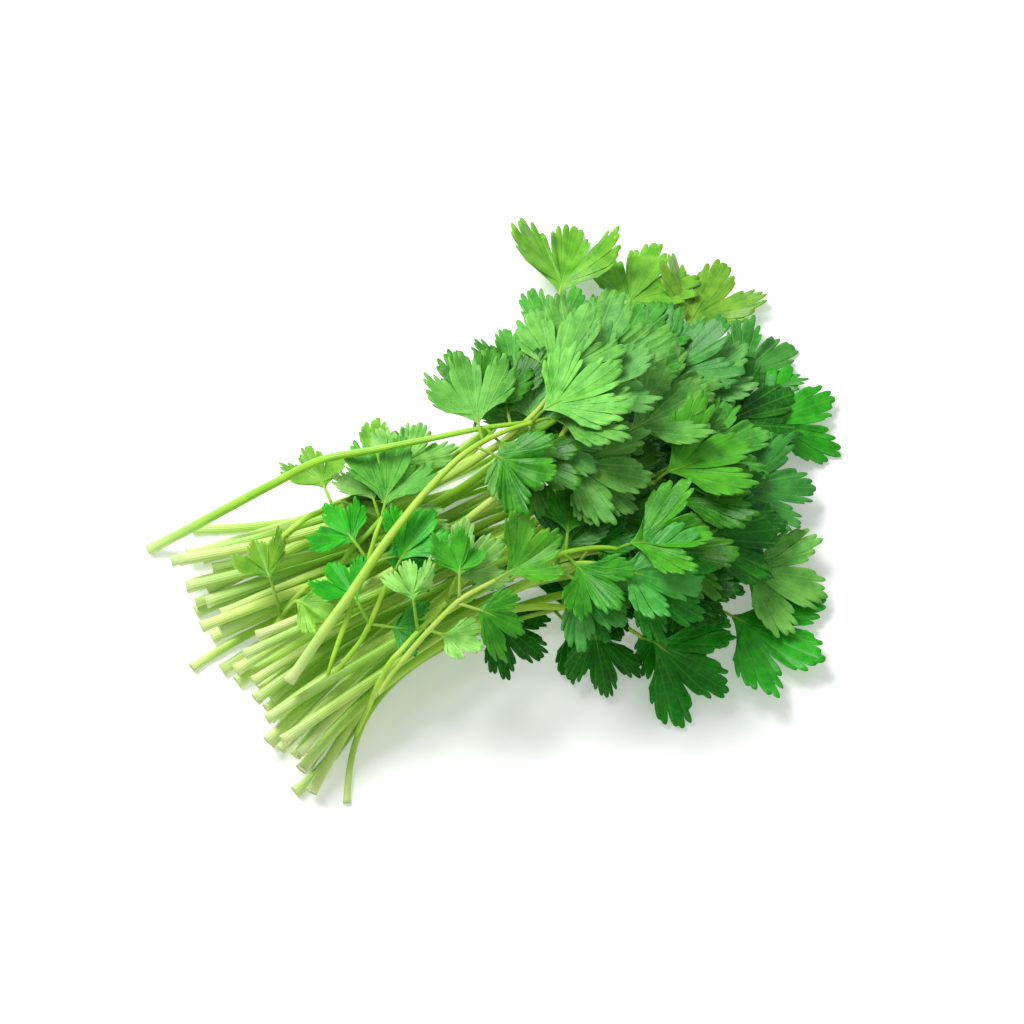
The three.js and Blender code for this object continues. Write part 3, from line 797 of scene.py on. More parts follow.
class Blade:
    """The finer surface of one leaflet: rings from its fold to its toothed rim, on both faces."""

    VEIN_PLACES = (0.0, 10.0, 30.0, 41.0, 52.0)
    VEIN_SPACE = 6.0
    TOOTH_WEIGHTS = (12.9898, 3.7, 78.233)
    TOOTH_HEIGHT = 437.5

    def __init__(self, leaf: Leaflet, shape: BladeShape, seed: float, openness: float) -> None:
        """Holds the leaflet, its shape, its own seed from 0 to 1 and how open it lies."""
        self.leaf = leaf
        self.shape = shape
        self.seed = seed
        self.openness = openness

    def _wave(self, turns: float, start: float = 0.0) -> float:
        """A sine of the leaflet's seed, from -1 to 1, which differs from leaflet to leaflet."""
        return math.sin(turns * self.seed + start)

    def _half_outline(self, side: int) -> tuple[np.ndarray, np.ndarray]:
        """The toothed rim of one half. Each tooth swells from its notches with a root of a sine.

        Args:
            side: -1 or 1.

        Returns:
            Angles from the axis in degrees, and distances from the base as shares of the size.
        """
        shape = self.shape
        angles, reaches = np.array(shape.rim_angles), np.array(shape.rim_reaches)
        numbers = np.arange(len(angles))
        of_tooth, of_side, of_seed = self.TOOTH_WEIGHTS
        wave = np.sin(numbers * of_tooth + side * of_side + self.seed * of_seed) * self.TOOTH_HEIGHT
        varied = np.mod(wave, 1.0) - 0.5
        reaches = reaches * (1 + 2 * shape.tooth_vary * varied * (numbers > 0))
        side_share = 1 + side * shape.side_vary * self._wave(40)
        reaches = np.where(angles > shape.side_from, reaches * side_share, reaches)
        up = np.array(shape.tooth_steps)
        down = 1 - np.concatenate([[0.0], 1 - up[:0:-1]])
        first = np.repeat(numbers[:-1], len(up))
        at_tip = first % 2 == 0
        share = np.where(at_tip, np.tile(down, len(angles) - 1), np.tile(up, len(angles) - 1))
        notch, tip = np.where(at_tip, first + 1, first), np.where(at_tip, first, first + 1)
        degrees = lerp(angles[notch], angles[tip], share)
        reach = lerp(reaches[notch], reaches[tip], np.sin(0.5 * math.pi * share) ** shape.roundness)
        return np.append(degrees, angles[-1]), np.append(reach, reaches[-1])

    def _rim(self) -> tuple[np.ndarray, np.ndarray, np.ndarray, np.ndarray]:
        """The rim as polar places about the base, and the solid's rim at the same angles.

        From the base the rim runs out along one back edge, round the lobes and back along the other edge.
        The back edges draw in to a narrow neck. The solid's heights are eased from corner to corner.

        Returns:
            Angles in degrees, distances from the base as shares of the size, the solid's heights, and
            the distances as shares of the solid's.
        """
        shape = self.shape
        left_degrees, left_reach = self._half_outline(-1)
        right_degrees, right_reach = self._half_outline(1)
        out = np.linspace(0, 1, shape.back_columns, endpoint=False)
        neck = lerp(shape.neck, 1.0, out ** shape.neck_power)
        degrees = np.concatenate([
            -left_degrees[-1] * neck, -left_degrees[::-1], right_degrees[1:],
            right_degrees[-1] * neck[:0:-1]])
        distance = np.concatenate([
            out * left_reach[-1], left_reach[::-1], right_reach[1:], out[:0:-1] * right_reach[-1]])
        place = np.interp(degrees, LOBE_ANGLES, np.arange(len(LOBE_ANGLES)))
        eased = np.floor(place) + 0.5 - 0.5 * np.cos(math.pi * (place - np.floor(place)))
        height = np.interp(eased, np.arange(len(LOBE_ANGLES)), self.leaf.rim[1:, 2])
        solid_reach = np.interp(degrees, LOBE_ANGLES, LOBE_REACH)
        return degrees, distance, height, np.clip(distance / solid_reach, 0, shape.most_outward)

    def _drape(self, share: np.ndarray, corner: np.ndarray, outward: np.ndarray) -> np.ndarray:
        """The heights of the rings, which follow the solid's faces from its fold to its rim.

        Near the base the rim's own height starts at the base's, and further out the two ways blend.

        Args:
            share: Each ring's share of the way from the fold to the rim.
            corner: The solid's height at each column's angle.
            outward: Each column's distance as a share of the solid's.

        Returns:
            Heights, rings by columns.
        """
        base, fold = self.leaf.rim[0, 2], self.leaf.fold[2]
        start, end = self.shape.drape_from, self.shape.drape_to
        from_base = lerp(fold, lerp(base, corner, outward), share)
        from_fold = lerp(fold, corner, share * outward)
        return lerp(from_base, from_fold, np.clip((outward - start) / (end - start), 0, 1))

    def _between_veins(self, degrees: np.ndarray) -> np.ndarray:
        """How far each angle lies from the nearest main vein, from 0 on it to 1 midway between two."""
        apart = np.abs(np.abs(degrees)[..., None] - np.array(self.VEIN_PLACES))
        return np.clip(apart.min(axis=-1) / self.VEIN_SPACE, 0, 1)

    def _lobe_bends(self, degrees: np.ndarray) -> np.ndarray:
        """How far each lobe's tip bends out of the blade, as a share of its size.

        Across a lobe the bend is a parabola that ends at the clefts, and the tilt is that parabola times the
        way across. Each lobe has its own bend and tilt, from sines of the leaflet's seed.
        """
        shape = self.shape
        bends = np.zeros(len(degrees))
        for number, place in enumerate(shape.lobe_places):
            across = (degrees - place) / shape.lobe_width
            swell = np.clip(1 - across ** 2, 0, 1)
            bend = shape.lobe_bend * self._wave(97, 2.1 * number)
            tilt = shape.lobe_tilt * self._wave(61, 1.3 * number)
            bends += swell * (bend + tilt * np.clip(across, -1, 1))
        return bends

    def surface(self) -> tuple[np.ndarray, np.ndarray, np.ndarray]:
        """The middle surface, on a grid of rings by columns.

        Each ring lies a share of the way from the fold to the rim. To its height come pleats between the
        veins, each lobe's bend, a ripple along the edge, a curl of the tip and of the sides, and a crease
        along the midrib.

        Returns:
            Points, UV places and the rings' shares.
        """
        leaf, shape = self.leaf, self.shape
        degrees, distance, corner, outward = self._rim()
        flat = leaf.point(degrees, distance * leaf.size)
        share = np.array(shape.rings)[:, None]
        points = lerp(leaf.fold, flat[None], share[..., None])
        points[..., 2] = self._drape(share, corner[None], outward[None])
        along = distance * np.cos(np.radians(degrees))
        across = distance * np.sin(np.radians(degrees))
        v = lerp(FOLD, along[None], share)
        u = across[None] * share
        turn = 2 * math.pi
        phase = turn * self.seed
        pleat = shape.pleat * share ** 2 * (shape.pleat_end - share) * self._between_veins(degrees)[None]
        waves = np.sin(np.radians(degrees)[None] * shape.ripples + phase)
        ripple = shape.ripple * (share * distance) ** 3 * waves
        tip_curl = shape.tip_curl * (self._wave(3 * turn) + shape.upward) * np.clip(v, 0, 1) ** 3
        side_curl = shape.side_curl * (self._wave(5 * turn, 1) + shape.upward) * u ** 2
        crease = shape.crease * (self._wave(7 * turn, 2) + shape.upward) * np.abs(u)
        lobes = self._lobe_bends(degrees)[None] * (share * distance) ** 2
        free = lerp(shape.covered_free, 1.0, self.openness ** 2)
        points[..., 2] += leaf.size * (pleat + (lobes + ripple + tip_curl + side_curl + crease) * free)
        points[..., 2] = np.minimum(points[..., 2], shape.ceiling)
        uv = np.stack([0.5 + 0.5 * u, v], axis=-1)
        return points, uv, np.broadcast_to(share, u.shape)

    def add_to(self, shell: Shell, upper: Colour, under: Colour, turned: bool) -> None:
        """Adds the blade to a leafy stem as a closed shell, thick in the middle and thin at the rim.

        Args:
            shell: The mesh in the making.
            upper: The upper side's colour.
            under: The underside's colour.
            turned: Whether the underside faces up.
        """
        shape = self.shape
        points, uv, share = self.surface()
        rings, columns = points.shape[:2]
        half = 0.5 * lerp(shape.thickness, shape.rim_thickness, share ** 2)
        floor_z = np.maximum(points[..., 2], half + shape.floor_gap)
        firsts = []
        for up in (1, -1):
            shown_upper = (up > 0) != turned
            colour = upper if shown_upper else under
            face = points.copy()
            face[..., 2] = floor_z + up * half
            middle = self.leaf.fold + [0, 0, up * 0.5 * shape.thickness]
            centre = shell.add_points(middle[None], np.array([[0.5, FOLD]]), colour, np.zeros(1))
            first = shell.add_points(face.reshape(-1, 3), uv.reshape(-1, 2), colour, share.ravel())
            slot = Slot.UPPER if shown_upper else Slot.UNDER
            shell.add_fan(centre, first, columns, slot, flip=up < 0)
            for ring in range(1, rings):
                low = first + ring * columns
                shell.add_strip(low, low - columns, columns, slot, flip=up < 0)
            firsts.append(first)
        last = (rings - 1) * columns
        shell.add_strip(firsts[0] + last, firsts[1] + last, columns, Slot.UPPER, flip=True, smooth=False)


@dataclass(frozen=True)
class StalkShape:
    """The finer shape of a stem and of a leaflet's stalk, in millimetres.

    The midrib's reach and rise are shares of the blade's, and the places along a stalk are shares of it.
    """

    sides: int = 15
    rings: int = 72
    ribs: int = 5
    rib_share: float = 0.05
    flare_share: float = 0.2
    flare_length: float = 4.0
    foot_length: float = 8.0
    foot_dip: float = 5.0
    foot_taper: float = 0.5
    pale_length: float = 22.0
    leaf_sides: int = 8
    leaf_rings: int = 9
    leaf_places: tuple[float, ...] = (0.0, 0.35, 0.7, 1.0)
    leaf_radii: tuple[float, ...] = (STALK_RADIUS, 0.62, 0.42, 0.16)
    midrib_reach: float = 0.4
    midrib_rise: float = 0.3


class Tube:
    """A round profile carried along a path, closed at both ends.

    The first end has a lip and a hollow, in shares of its radius. One unit of the pattern along it is
    100 mm.
    """

    LIP = 0.97
    WELL = 0.72
    WELL_DEPTH = 0.25
    HOLLOW_DEPTH = 0.5
    PATTERN_LENGTH = 100.0

    def __init__(self, path: np.ndarray, radii: np.ndarray, sides: int) -> None:
        """Holds the path, the radius at each of its points and the number of sides."""
        self.path = path
        self.radii = radii
        self.sides = sides

    def _frames(self) -> tuple[np.ndarray, np.ndarray]:
        """The left and the up direction at each point: left is level, and both are square to the path."""
        ahead = np.gradient(self.path, axis=0)
        ahead /= np.linalg.norm(ahead, axis=1, keepdims=True)
        left = np.cross([0.0, 0.0, 1.0], ahead)
        left /= np.linalg.norm(left, axis=1, keepdims=True)
        return left, np.cross(ahead, left)

    def rings_of(self, ribs: int, rib_share: float) -> np.ndarray:
        """The rings of vertices: the radius swells and shrinks with a cosine of the angle, in ribs.

        Args:
            ribs: How many ribs go round.
            rib_share: How far they stand out, as a share of the radius.

        Returns:
            An array of rings by sides by 3.
        """
        left, up = self._frames()
        angle = 2 * math.pi * np.arange(self.sides) / self.sides
        around = self.radii[:, None] * (1 + rib_share * np.cos(ribs * angle))[None]
        level = (around * np.cos(angle))[..., None] * left[:, None]
        upward = (around * np.sin(angle))[..., None] * up[:, None]
        made = self.path[:, None] + level + upward
        made[..., 2] = np.maximum(made[..., 2], 0.0)
        return made

    def add_to(self, shell: Shell, colour: Colour, edge: np.ndarray, ribs: int = 0, rib_share: float = 0.0,
               end_slot: Slot = Slot.STALK) -> None:
        """Adds the tube to a leafy stem.

        Args:
            shell: The mesh in the making.
            colour: Its colour.
            edge: How near each ring is to the cut, from 0 to 1.
            ribs: How many ribs go round.
            rib_share: How far they stand out, as a share of the radius.
            end_slot: The material slot of the first end.
        """
        rings = self.rings_of(ribs, rib_share)
        along = np.concatenate([[0.0], np.cumsum(np.linalg.norm(np.diff(self.path, axis=0), axis=1))])
        around = np.arange(self.sides) / self.sides
        v = along / self.PATTERN_LENGTH
        uv = np.stack(np.broadcast_arrays(around[None], v[:, None]), axis=-1)
        shares = np.repeat(edge, self.sides)
        first = shell.add_points(rings.reshape(-1, 3), uv.reshape(-1, 2), colour, shares)
        for ring in range(len(rings) - 1):
            low = first + ring * self.sides
            shell.add_strip(low, low + self.sides, self.sides, Slot.STALK, flip=False)
        self._add_start(shell, rings[0], colour, first, end_slot)
        tip = self.path[-1] + 0.5 * (self.path[-1] - self.path[-2])
        end = shell.add_points(tip[None], np.array([[0.5, v[-1]]]), colour, np.zeros(1))
        shell.add_fan(end, first + (len(rings) - 1) * self.sides, self.sides, Slot.STALK, flip=False)

    def _add_start(self, shell: Shell, ring: np.ndarray, colour: Colour, first: int, slot: Slot) -> None:
        """Closes the first end: a narrower ring and a middle, sunk a little into the stem."""
        ahead = self.path[1] - self.path[0]
        ahead /= np.linalg.norm(ahead)
        centre = self.path[0]
        lip = centre + (ring - centre) * self.LIP
        well = centre + (ring - centre) * self.WELL + ahead * self.WELL_DEPTH * self.radii[0]
        hollow = centre + ahead * self.HOLLOW_DEPTH * self.radii[0]
        rings = []
        for points, share in ((lip, 1.0), (well, self.WELL)):
            uv = np.column_stack([np.full(len(points), share), np.zeros(len(points))])
            rings.append(shell.add_points(points, uv, colour, np.ones(len(points))))
        middle = shell.add_points(hollow[None], np.zeros((1, 2)), colour, np.ones(1))
        shell.add_strip(first, rings[0], self.sides, slot, flip=True, smooth=False)
        shell.add_strip(rings[0], rings[1], self.sides, slot, flip=True, smooth=False)
        shell.add_fan(middle, rings[1], self.sides, slot, flip=True)


def smooth_heights(knots: np.ndarray, t: np.ndarray) -> np.ndarray:
    """Heights along a stem: a cubic Hermite curve through its knots, with slopes from their neighbours."""
    z = knots[:, 2]
    slope = np.gradient(z)
    place = t * (len(z) - 1)
    k = np.minimum(place.astype(int), len(z) - 2)
    s = place - k
    a = (2 * s ** 3 - 3 * s ** 2 + 1) * z[k] + (s ** 3 - 2 * s ** 2 + s) * slope[k]
    return a + (3 * s ** 2 - 2 * s ** 3) * z[k + 1] + (s ** 3 - s ** 2) * slope[k + 1]


@dataclass
class LeafyStem:
    """One finished leafy stem: its ribbed stem, its leaflets' stalks and its blades, in one piece."""

    laid: LaidStem
    bunch: Bunch
    blade_shape: BladeShape
    stalk_shape: StalkShape

    SLOT_OF_KIND = {"young": "young_leafy_stem", "bare": "bare_stem"}
    STEM_GREENS = ((0.5, 0.82, 0.065), (0.33, 0.69, 0.03), (0.62, 0.87, 0.13))
    STEM_LIGHTS = (0.85, 1.15)
    LEAF_LIGHTS = (0.75, 1.25)
    LEAF_WARMTHS = (0.75, 1.25)
    UNDER_LIGHTS = (0.85, 1.1)
    # Painted shade: covered leaflets are darkened by how little of them lies open, their undersides less so.
    COVERED_SHADE_RANGE = (0.55, 1.05)
    UNDER_SHADE_SHARE = 0.7
    STALK_LEAFINESS = 0.35

    def _leaf_colours(self, leaf: Leaflet, openness: float) -> tuple[Colour, Colour]:
        """The two sides' colours: the stem's hue, made lighter or darker and warmer for each leaflet.

        Args:
            leaf: The leaflet.
            openness: How open it lies. The covered leaflets are painted darker, as painted shade.

        Returns:
            The upper side's colour and the underside's.
        """
        n, k = self.laid.number, leaf.number
        hue = self.laid.plan.hue
        # Painted shade: the less of a leaflet lies open, the darker both its sides are painted.
        covered_shade = lerp(*self.COVERED_SHADE_RANGE, openness)
        light = draw(n, k, LeafDraw.LIGHT, *self.LEAF_LIGHTS) * covered_shade
        warm = draw(n, k, LeafDraw.WARM, *self.LEAF_WARMTHS)
        upper = (hue.upper[0] * light * warm, hue.upper[1] * light, hue.upper[2] * light)
        pale = draw(n, k, LeafDraw.PALE, *self.UNDER_LIGHTS) * lerp(1.0, covered_shade, self.UNDER_SHADE_SHARE)
        return upper, tuple(c * pale for c in hue.under)

    def _stem_colour(self) -> Colour:
        """One of the stems' greens, a little varied."""
        n = self.laid.number
        green = self.STEM_GREENS[int(draw(n, 0, StemDraw.GREEN, 0, len(self.STEM_GREENS)))]
        return tuple(c * draw(n, 0, StemDraw.LIGHT, *self.STEM_LIGHTS) for c in green)

    def _add_stem(self, shell: Shell, colour: Colour) -> None:
        """Adds the stem along its smooth path, flared and pale at the cut.

        A young stem has no cut to show: it comes up from between the others, so its foot dips and narrows.
        """
        shape, laid = self.stalk_shape, self.laid
        t = np.linspace(0, 1, shape.rings)
        path = np.column_stack([bezier(laid.plan, t), smooth_heights(laid.knots, t)])
        radii = lerp(laid.plan.radius, TIP_RADIUS, t ** TAPER)
        along = np.concatenate([[0.0], np.cumsum(np.linalg.norm(np.diff(path, axis=0), axis=1))])
        if laid.plan.kind == "young":
            foot = np.exp(-along / shape.foot_length)
            path[:, 2] = np.maximum(path[:, 2] - shape.foot_dip * foot, radii)
            radii = radii * (1 - shape.foot_taper * foot)
            uncut = np.zeros(len(t))
            Tube(path, radii, shape.sides).add_to(shell, colour, uncut, shape.ribs, shape.rib_share)
            return
        flare = np.clip(1 - along / shape.flare_length, 0, 1)
        radii = radii * (1 + shape.flare_share * flare)
        near_cut = np.exp(-along / shape.pale_length)
        Tube(path, radii, shape.sides).add_to(shell, colour, near_cut, shape.ribs, shape.rib_share, Slot.CUT)

    def _add_stalk(self, shell: Shell, leaf: Leaflet, colour: Colour) -> None:
        """Adds a leaflet's stalk, from inside the stem to under its blade, where it becomes the midrib."""
        shape = self.stalk_shape
        rib = leaf.point(np.zeros(1), np.array([shape.midrib_reach * leaf.size]))[0]
        tip = lerp(leaf.fold, leaf.rim[leaf.TIP_CORNER], shape.midrib_rise)
        stops = np.array([leaf.root, leaf.rim[0], leaf.fold, np.array([rib[0], rib[1], tip[2]])])
        t = np.linspace(0, 1, shape.leaf_rings)
        place = t * (len(stops) - 1)
        k = np.minimum(place.astype(int), len(stops) - 2)
        path = lerp(stops[k], stops[k + 1], (place - k)[:, None])
        path[1:-1] = 0.25 * path[:-2] + 0.5 * path[1:-1] + 0.25 * path[2:]
        radii = np.interp(t, shape.leaf_places, shape.leaf_radii)
        Tube(path, radii, shape.leaf_sides).add_to(shell, colour, np.zeros(len(path)))

    def build(self, materials: list[bpy.types.Material]) -> bpy.types.Object:
        """Builds the piece, which replaces its solid.

        Args:
            materials: One for each slot, in the order of Slot.

        Returns:
            The new object.
        """
        laid = self.laid
        shell = Shell()
        stem_colour = self._stem_colour()
        self._add_stem(shell, stem_colour)
        for leaf in laid.leaflets:
            openness = self.bunch.openness(leaf)
            upper, under = self._leaf_colours(leaf, openness)
            stalk_colour = lerp(np.array(stem_colour), np.array(upper), self.STALK_LEAFINESS)
            self._add_stalk(shell, leaf, tuple(stalk_colour))
            seed = draw(laid.number, leaf.number, LeafDraw.SEED, 0, 1)
            turned = draw(laid.number, leaf.number, LeafDraw.TURNED, 0, 1) < laid.plan.shows_under
            Blade(leaf, self.blade_shape, seed, openness).add_to(shell, upper, under, turned)
        piece = shell.to_object(f"{laid.plan.name}_fine", materials)
        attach(piece, "root")
        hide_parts(laid.plan.name)
        return piece


class Wire:
    """A value in a material's node tree. An expression on wires adds the Math nodes that work it out."""

    def __init__(self, graph: "Graph", socket: bpy.types.NodeSocket) -> None:
        """Holds the graph and the socket that gives the value."""
        self.graph = graph
        self.socket = socket

    def __add__(self, other: "Wire | float") -> "Wire":
        """The sum."""
        return self.graph.math("ADD", self, other)

    def __radd__(self, other: float) -> "Wire":
        """The sum, with the number first."""
        return self.graph.math("ADD", other, self)

    def __sub__(self, other: "Wire | float") -> "Wire":
        """The difference."""
        return self.graph.math("SUBTRACT", self, other)

    def __rsub__(self, other: float) -> "Wire":
        """The difference, with the number first."""
        return self.graph.math("SUBTRACT", other, self)

    def __mul__(self, other: "Wire | float") -> "Wire":
        """The product."""
        return self.graph.math("MULTIPLY", self, other)

    def __rmul__(self, other: float) -> "Wire":
        """The product, with the number first."""
        return self.graph.math("MULTIPLY", other, self)

    def __abs__(self) -> "Wire":
        """The absolute value."""
        return self.graph.math("ABSOLUTE", self)


class Graph:
    """The node tree of one material, with one method that makes its nodes."""

    def __init__(self, name: str) -> None:
        """Starts a material with nothing in its tree."""
        self.material = bpy.data.materials.new(name)
        self.material.use_nodes = True
        self.tree = self.material.node_tree
        self.tree.nodes.clear()

    def node(self, kind: str, settings: dict[str, object], values: dict[str | int, object]) -> bpy.types.Node:
        """Makes one node.

        Args:
            kind: The node's type.
            settings: Its own settings, which are set first.
            values: The value or the wire of each of its sockets.

        Returns:
            The node.
        """
        made = self.tree.nodes.new(kind)
        for key, value in settings.items():
            setattr(made, key, value)
        for key, value in values.items():
            if isinstance(value, Wire):
                self.tree.links.new(value.socket, made.inputs[key])
            else:
                made.inputs[key].default_value = value
        return made

    def wire(self, made: bpy.types.Node, output: str | int = 0) -> Wire:
        """A node's output as a wire."""
        return Wire(self, made.outputs[output])

    def math(self, operation: str, *values: "Wire | float") -> Wire:
        """The result of a Math node on one or more values."""
        made = self.node("ShaderNodeMath", {"operation": operation}, dict(enumerate(values)))
        return self.wire(made)

    def fade(self, value: Wire, start: float, end: float) -> Wire:
        """1 where the value is below start, 0 where it is above end, and eased between them."""
        settings = {"interpolation_type": "SMOOTHSTEP"}
        made = self.node("ShaderNodeMapRange", settings, {0: value, 1: start, 2: end, 3: 1.0, 4: 0.0})
        return self.wire(made)

    def mix(self, factor: "Wire | float", a: "Wire | Colour", b: "Wire | Colour") -> Wire:
        """Two colours mixed."""
        inputs = {0: factor}
        for key, value in ((6, a), (7, b)):
            inputs[key] = value if isinstance(value, Wire) else (*value, 1.0)
        made = self.node("ShaderNodeMix", {"data_type": "RGBA"}, inputs)
        return self.wire(made, 2)

    def tint(self, colour: Wire, by: Colour) -> Wire:
        """A colour times another."""
        settings = {"data_type": "RGBA", "blend_type": "MULTIPLY"}
        made = self.node("ShaderNodeMix", settings, {0: 1.0, 6: colour, 7: (*by, 1.0)})
        return self.wire(made, 2)

    def noise(self, scale: float, detail: float, stretch: Colour = (1.0, 1.0, 1.0)) -> Wire:
        """Noise over the object's own place, in features of about one over the scale, in metres."""
        place = self.wire(self.node("ShaderNodeTexCoord", {}, {}), "Object")
        mapped = self.wire(self.node("ShaderNodeMapping", {}, {0: place, 3: stretch}))
        made = self.node("ShaderNodeTexNoise", {}, {"Vector": mapped, "Scale": scale, "Detail": detail})
        return self.wire(made)

    def attribute(self, name: str, output: str) -> Wire:
        """One of the mesh's attributes."""
        return self.wire(self.node("ShaderNodeAttribute", {"attribute_name": name}, {}), output)

    def pattern_place(self) -> tuple[Wire, Wire]:
        """The two coordinates of the mesh's UV map."""
        place = self.wire(self.node("ShaderNodeUVMap", {"uv_map": "pattern"}, {}))
        parts = self.node("ShaderNodeSeparateXYZ", {}, {0: place})
        return self.wire(parts, 0), self.wire(parts, 1)

    def finish(self, colour: Wire, roughness: Wire, height: Wire, relief: float,
               fixed: dict[str, object]) -> bpy.types.Material:
        """Joins everything to a Principled shader.

        Args:
            colour: The base colour.
            roughness: The roughness.
            height: The relief, from 0 to 1.
            relief: How deep the relief is, in metres.
            fixed: Sockets of the shader that are the same all over.

        Returns:
            The material.
        """
        bump = self.node("ShaderNodeBump", {}, {"Strength": 1.0, "Distance": relief, "Height": height})
        values = {"Base Color": colour, "Roughness": roughness, "Normal": self.wire(bump), **fixed}
        shader = self.wire(self.node("ShaderNodeBsdfPrincipled", {}, values))
        self.node("ShaderNodeOutputMaterial", {}, {"Surface": shader})
        return self.material


@dataclass(frozen=True)
class LeafFinish:
    """One side of a blade: its own green, mottled, with a paler rim and veins that branch from the base.

    Lengths on the blade are shares of its size, and noise scales are features to the metre.
    """

    name: str
    vein: Colour
    vein_share: float
    vein_height: float
    roughness: float
    relief: float

    VEIN_EDGES = (0.002, 0.012)
    BRANCHES = 11
    BRANCH_SLANT = 9
    BRANCH_EDGES = (0.02, 0.11)
    BRANCH_ENDS = (0.05, 0.2)
    BRANCH_SHARE = 0.6
    WANDER = 0.8
    WANDER_SCALE = 200
    MOTTLE_SCALE = 140
    MOTTLE_EDGES = (0.3, 0.7)
    MOTTLE_HEIGHT = 0.5
    FINE_SCALE = 900
    FINE_HEIGHT = 0.35
    DARK = (0.5, 0.74, 0.45)
    LIGHT = (1.2, 1.18, 1.05)
    RIM = (1.5, 1.35, 1.5)
    RIM_EDGES = (0.8, 1.0)
    RIM_SHARE = 0.3
    ROUGHNESS_SPREAD = 0.2
    SPECULAR = 0.25

    def _veins(self, graph: Graph) -> Wire:
        """1 on a vein and 0 off it: rays from the blade's base, and finer veins that slant off them.

        Args:
            graph: The material's node tree.

        Returns:
            The share of vein at each place. The finer veins come at even steps outwards.
        """
        u, along = graph.pattern_place()
        across = abs(2 * u - 1)
        radius = graph.math("SQRT", across * across + along * along)
        angle = graph.math("ARCTAN2", across, along)
        apart = angle
        for degrees in Blade.VEIN_PLACES[1:]:
            apart = graph.math("MINIMUM", apart, abs(angle - math.radians(degrees)))
        distance = apart * radius
        main = graph.fade(distance, *self.VEIN_EDGES)
        wander = graph.noise(self.WANDER_SCALE, 1) * self.WANDER
        step = graph.math("FRACT", radius * self.BRANCHES - distance * self.BRANCH_SLANT + wander)
        line = graph.fade(abs(step - 0.5), *self.BRANCH_EDGES)
        branch = line * graph.fade(distance, *self.BRANCH_ENDS)
        return graph.math("MINIMUM", main + branch * self.BRANCH_SHARE, 1.0)

    def build(self) -> bpy.types.Material:
        """Makes the material."""
        graph = Graph(self.name)
        vein = self._veins(graph)
        mottle = graph.noise(self.MOTTLE_SCALE, 4)
        fine = graph.noise(self.FINE_SCALE, 3)
        tone = graph.attribute("tone", "Color")
        spread = graph.fade(mottle, *self.MOTTLE_EDGES)
        body = graph.mix(spread, graph.tint(tone, self.LIGHT), graph.tint(tone, self.DARK))
        edge = 1 - graph.fade(graph.attribute("edge", "Fac"), *self.RIM_EDGES)
        rimmed = graph.mix(edge * self.RIM_SHARE, body, graph.tint(tone, self.RIM))
        coloured = graph.mix(vein * self.vein_share, rimmed, self.vein)
        height = vein * self.vein_height + fine * self.FINE_HEIGHT + mottle * self.MOTTLE_HEIGHT
        rough = mottle * self.ROUGHNESS_SPREAD + (self.roughness - 0.5 * self.ROUGHNESS_SPREAD)
        return graph.finish(coloured, rough, height, self.relief, {"Specular IOR Level": self.SPECULAR})


@dataclass(frozen=True)
class StalkFinish:
    """Stems and stalks: their own green, paler towards the cut, with fine lines along them."""

    name: str
    pale: Colour
    roughness: float

    LINES = 15
    LINE_WANDER = 6
    WANDER_SCALE = 60
    LINE_SHARE = 0.07
    LINE_HEIGHT = 0.2
    PATCH_SCALE = 90
    PATCH_EDGES = (0.35, 0.65)
    PATCH_HEIGHT = 0.6
    DARK = (0.75, 0.88, 0.65)
    LIGHT = (1.4, 1.2, 1.3)
    PALE_SHARE = 0.75
    ROUGHNESS_SPREAD = 0.16
    RELIEF = 0.0002
    SPECULAR = 0.45

    def build(self) -> bpy.types.Material:
        """Makes the material. The lines are waves over the way round, so they run along the stem."""
        graph = Graph(self.name)
        around, _ = graph.pattern_place()
        wander = graph.noise(self.WANDER_SCALE, 2) * self.LINE_WANDER
        lines = graph.math("SINE", around * (2 * math.pi * self.LINES) + wander)
        patches = graph.noise(self.PATCH_SCALE, 3)
        tone = graph.attribute("tone", "Color")
        body = graph.mix(graph.fade(patches, *self.PATCH_EDGES), tone, graph.tint(tone, self.DARK))
        line_share = lines * self.LINE_SHARE + self.LINE_SHARE
        lined = graph.mix(line_share, body, graph.tint(tone, self.LIGHT))
        near_cut = graph.attribute("edge", "Fac")
        coloured = graph.mix(near_cut * self.PALE_SHARE, lined, self.pale)
        height = lines * self.LINE_HEIGHT + patches * self.PATCH_HEIGHT
        rough = patches * self.ROUGHNESS_SPREAD + (self.roughness - 0.5 * self.ROUGHNESS_SPREAD)
        return graph.finish(coloured, rough, height, self.RELIEF, {"Specular IOR Level": self.SPECULAR})


@dataclass(frozen=True)
class CutFinish:
    """The cut face of a stem: moist and pale, greener towards its skin."""

    name: str
    pith: Colour
    skin: Colour
    roughness: float

    GRAIN_SCALE = 1500
    GRAIN_SHARE = 0.2
    SKIN_EDGES = (0.75, 1.05)
    RELIEF = 0.0003
    SPECULAR = 0.5

    def build(self) -> bpy.types.Material:
        """Makes the material. The way out from the middle is the pattern's first coordinate."""
        graph = Graph(self.name)
        out, _ = graph.pattern_place()
        grain = graph.noise(self.GRAIN_SCALE, 3)
        ring = 1 - graph.fade(out + grain * self.GRAIN_SHARE, *self.SKIN_EDGES)
        colour = graph.mix(ring, self.pith, self.skin)
        rough = grain * self.GRAIN_SHARE + (self.roughness - 0.5 * self.GRAIN_SHARE)
        return graph.finish(colour, rough, grain, self.RELIEF, {"Specular IOR Level": self.SPECULAR})


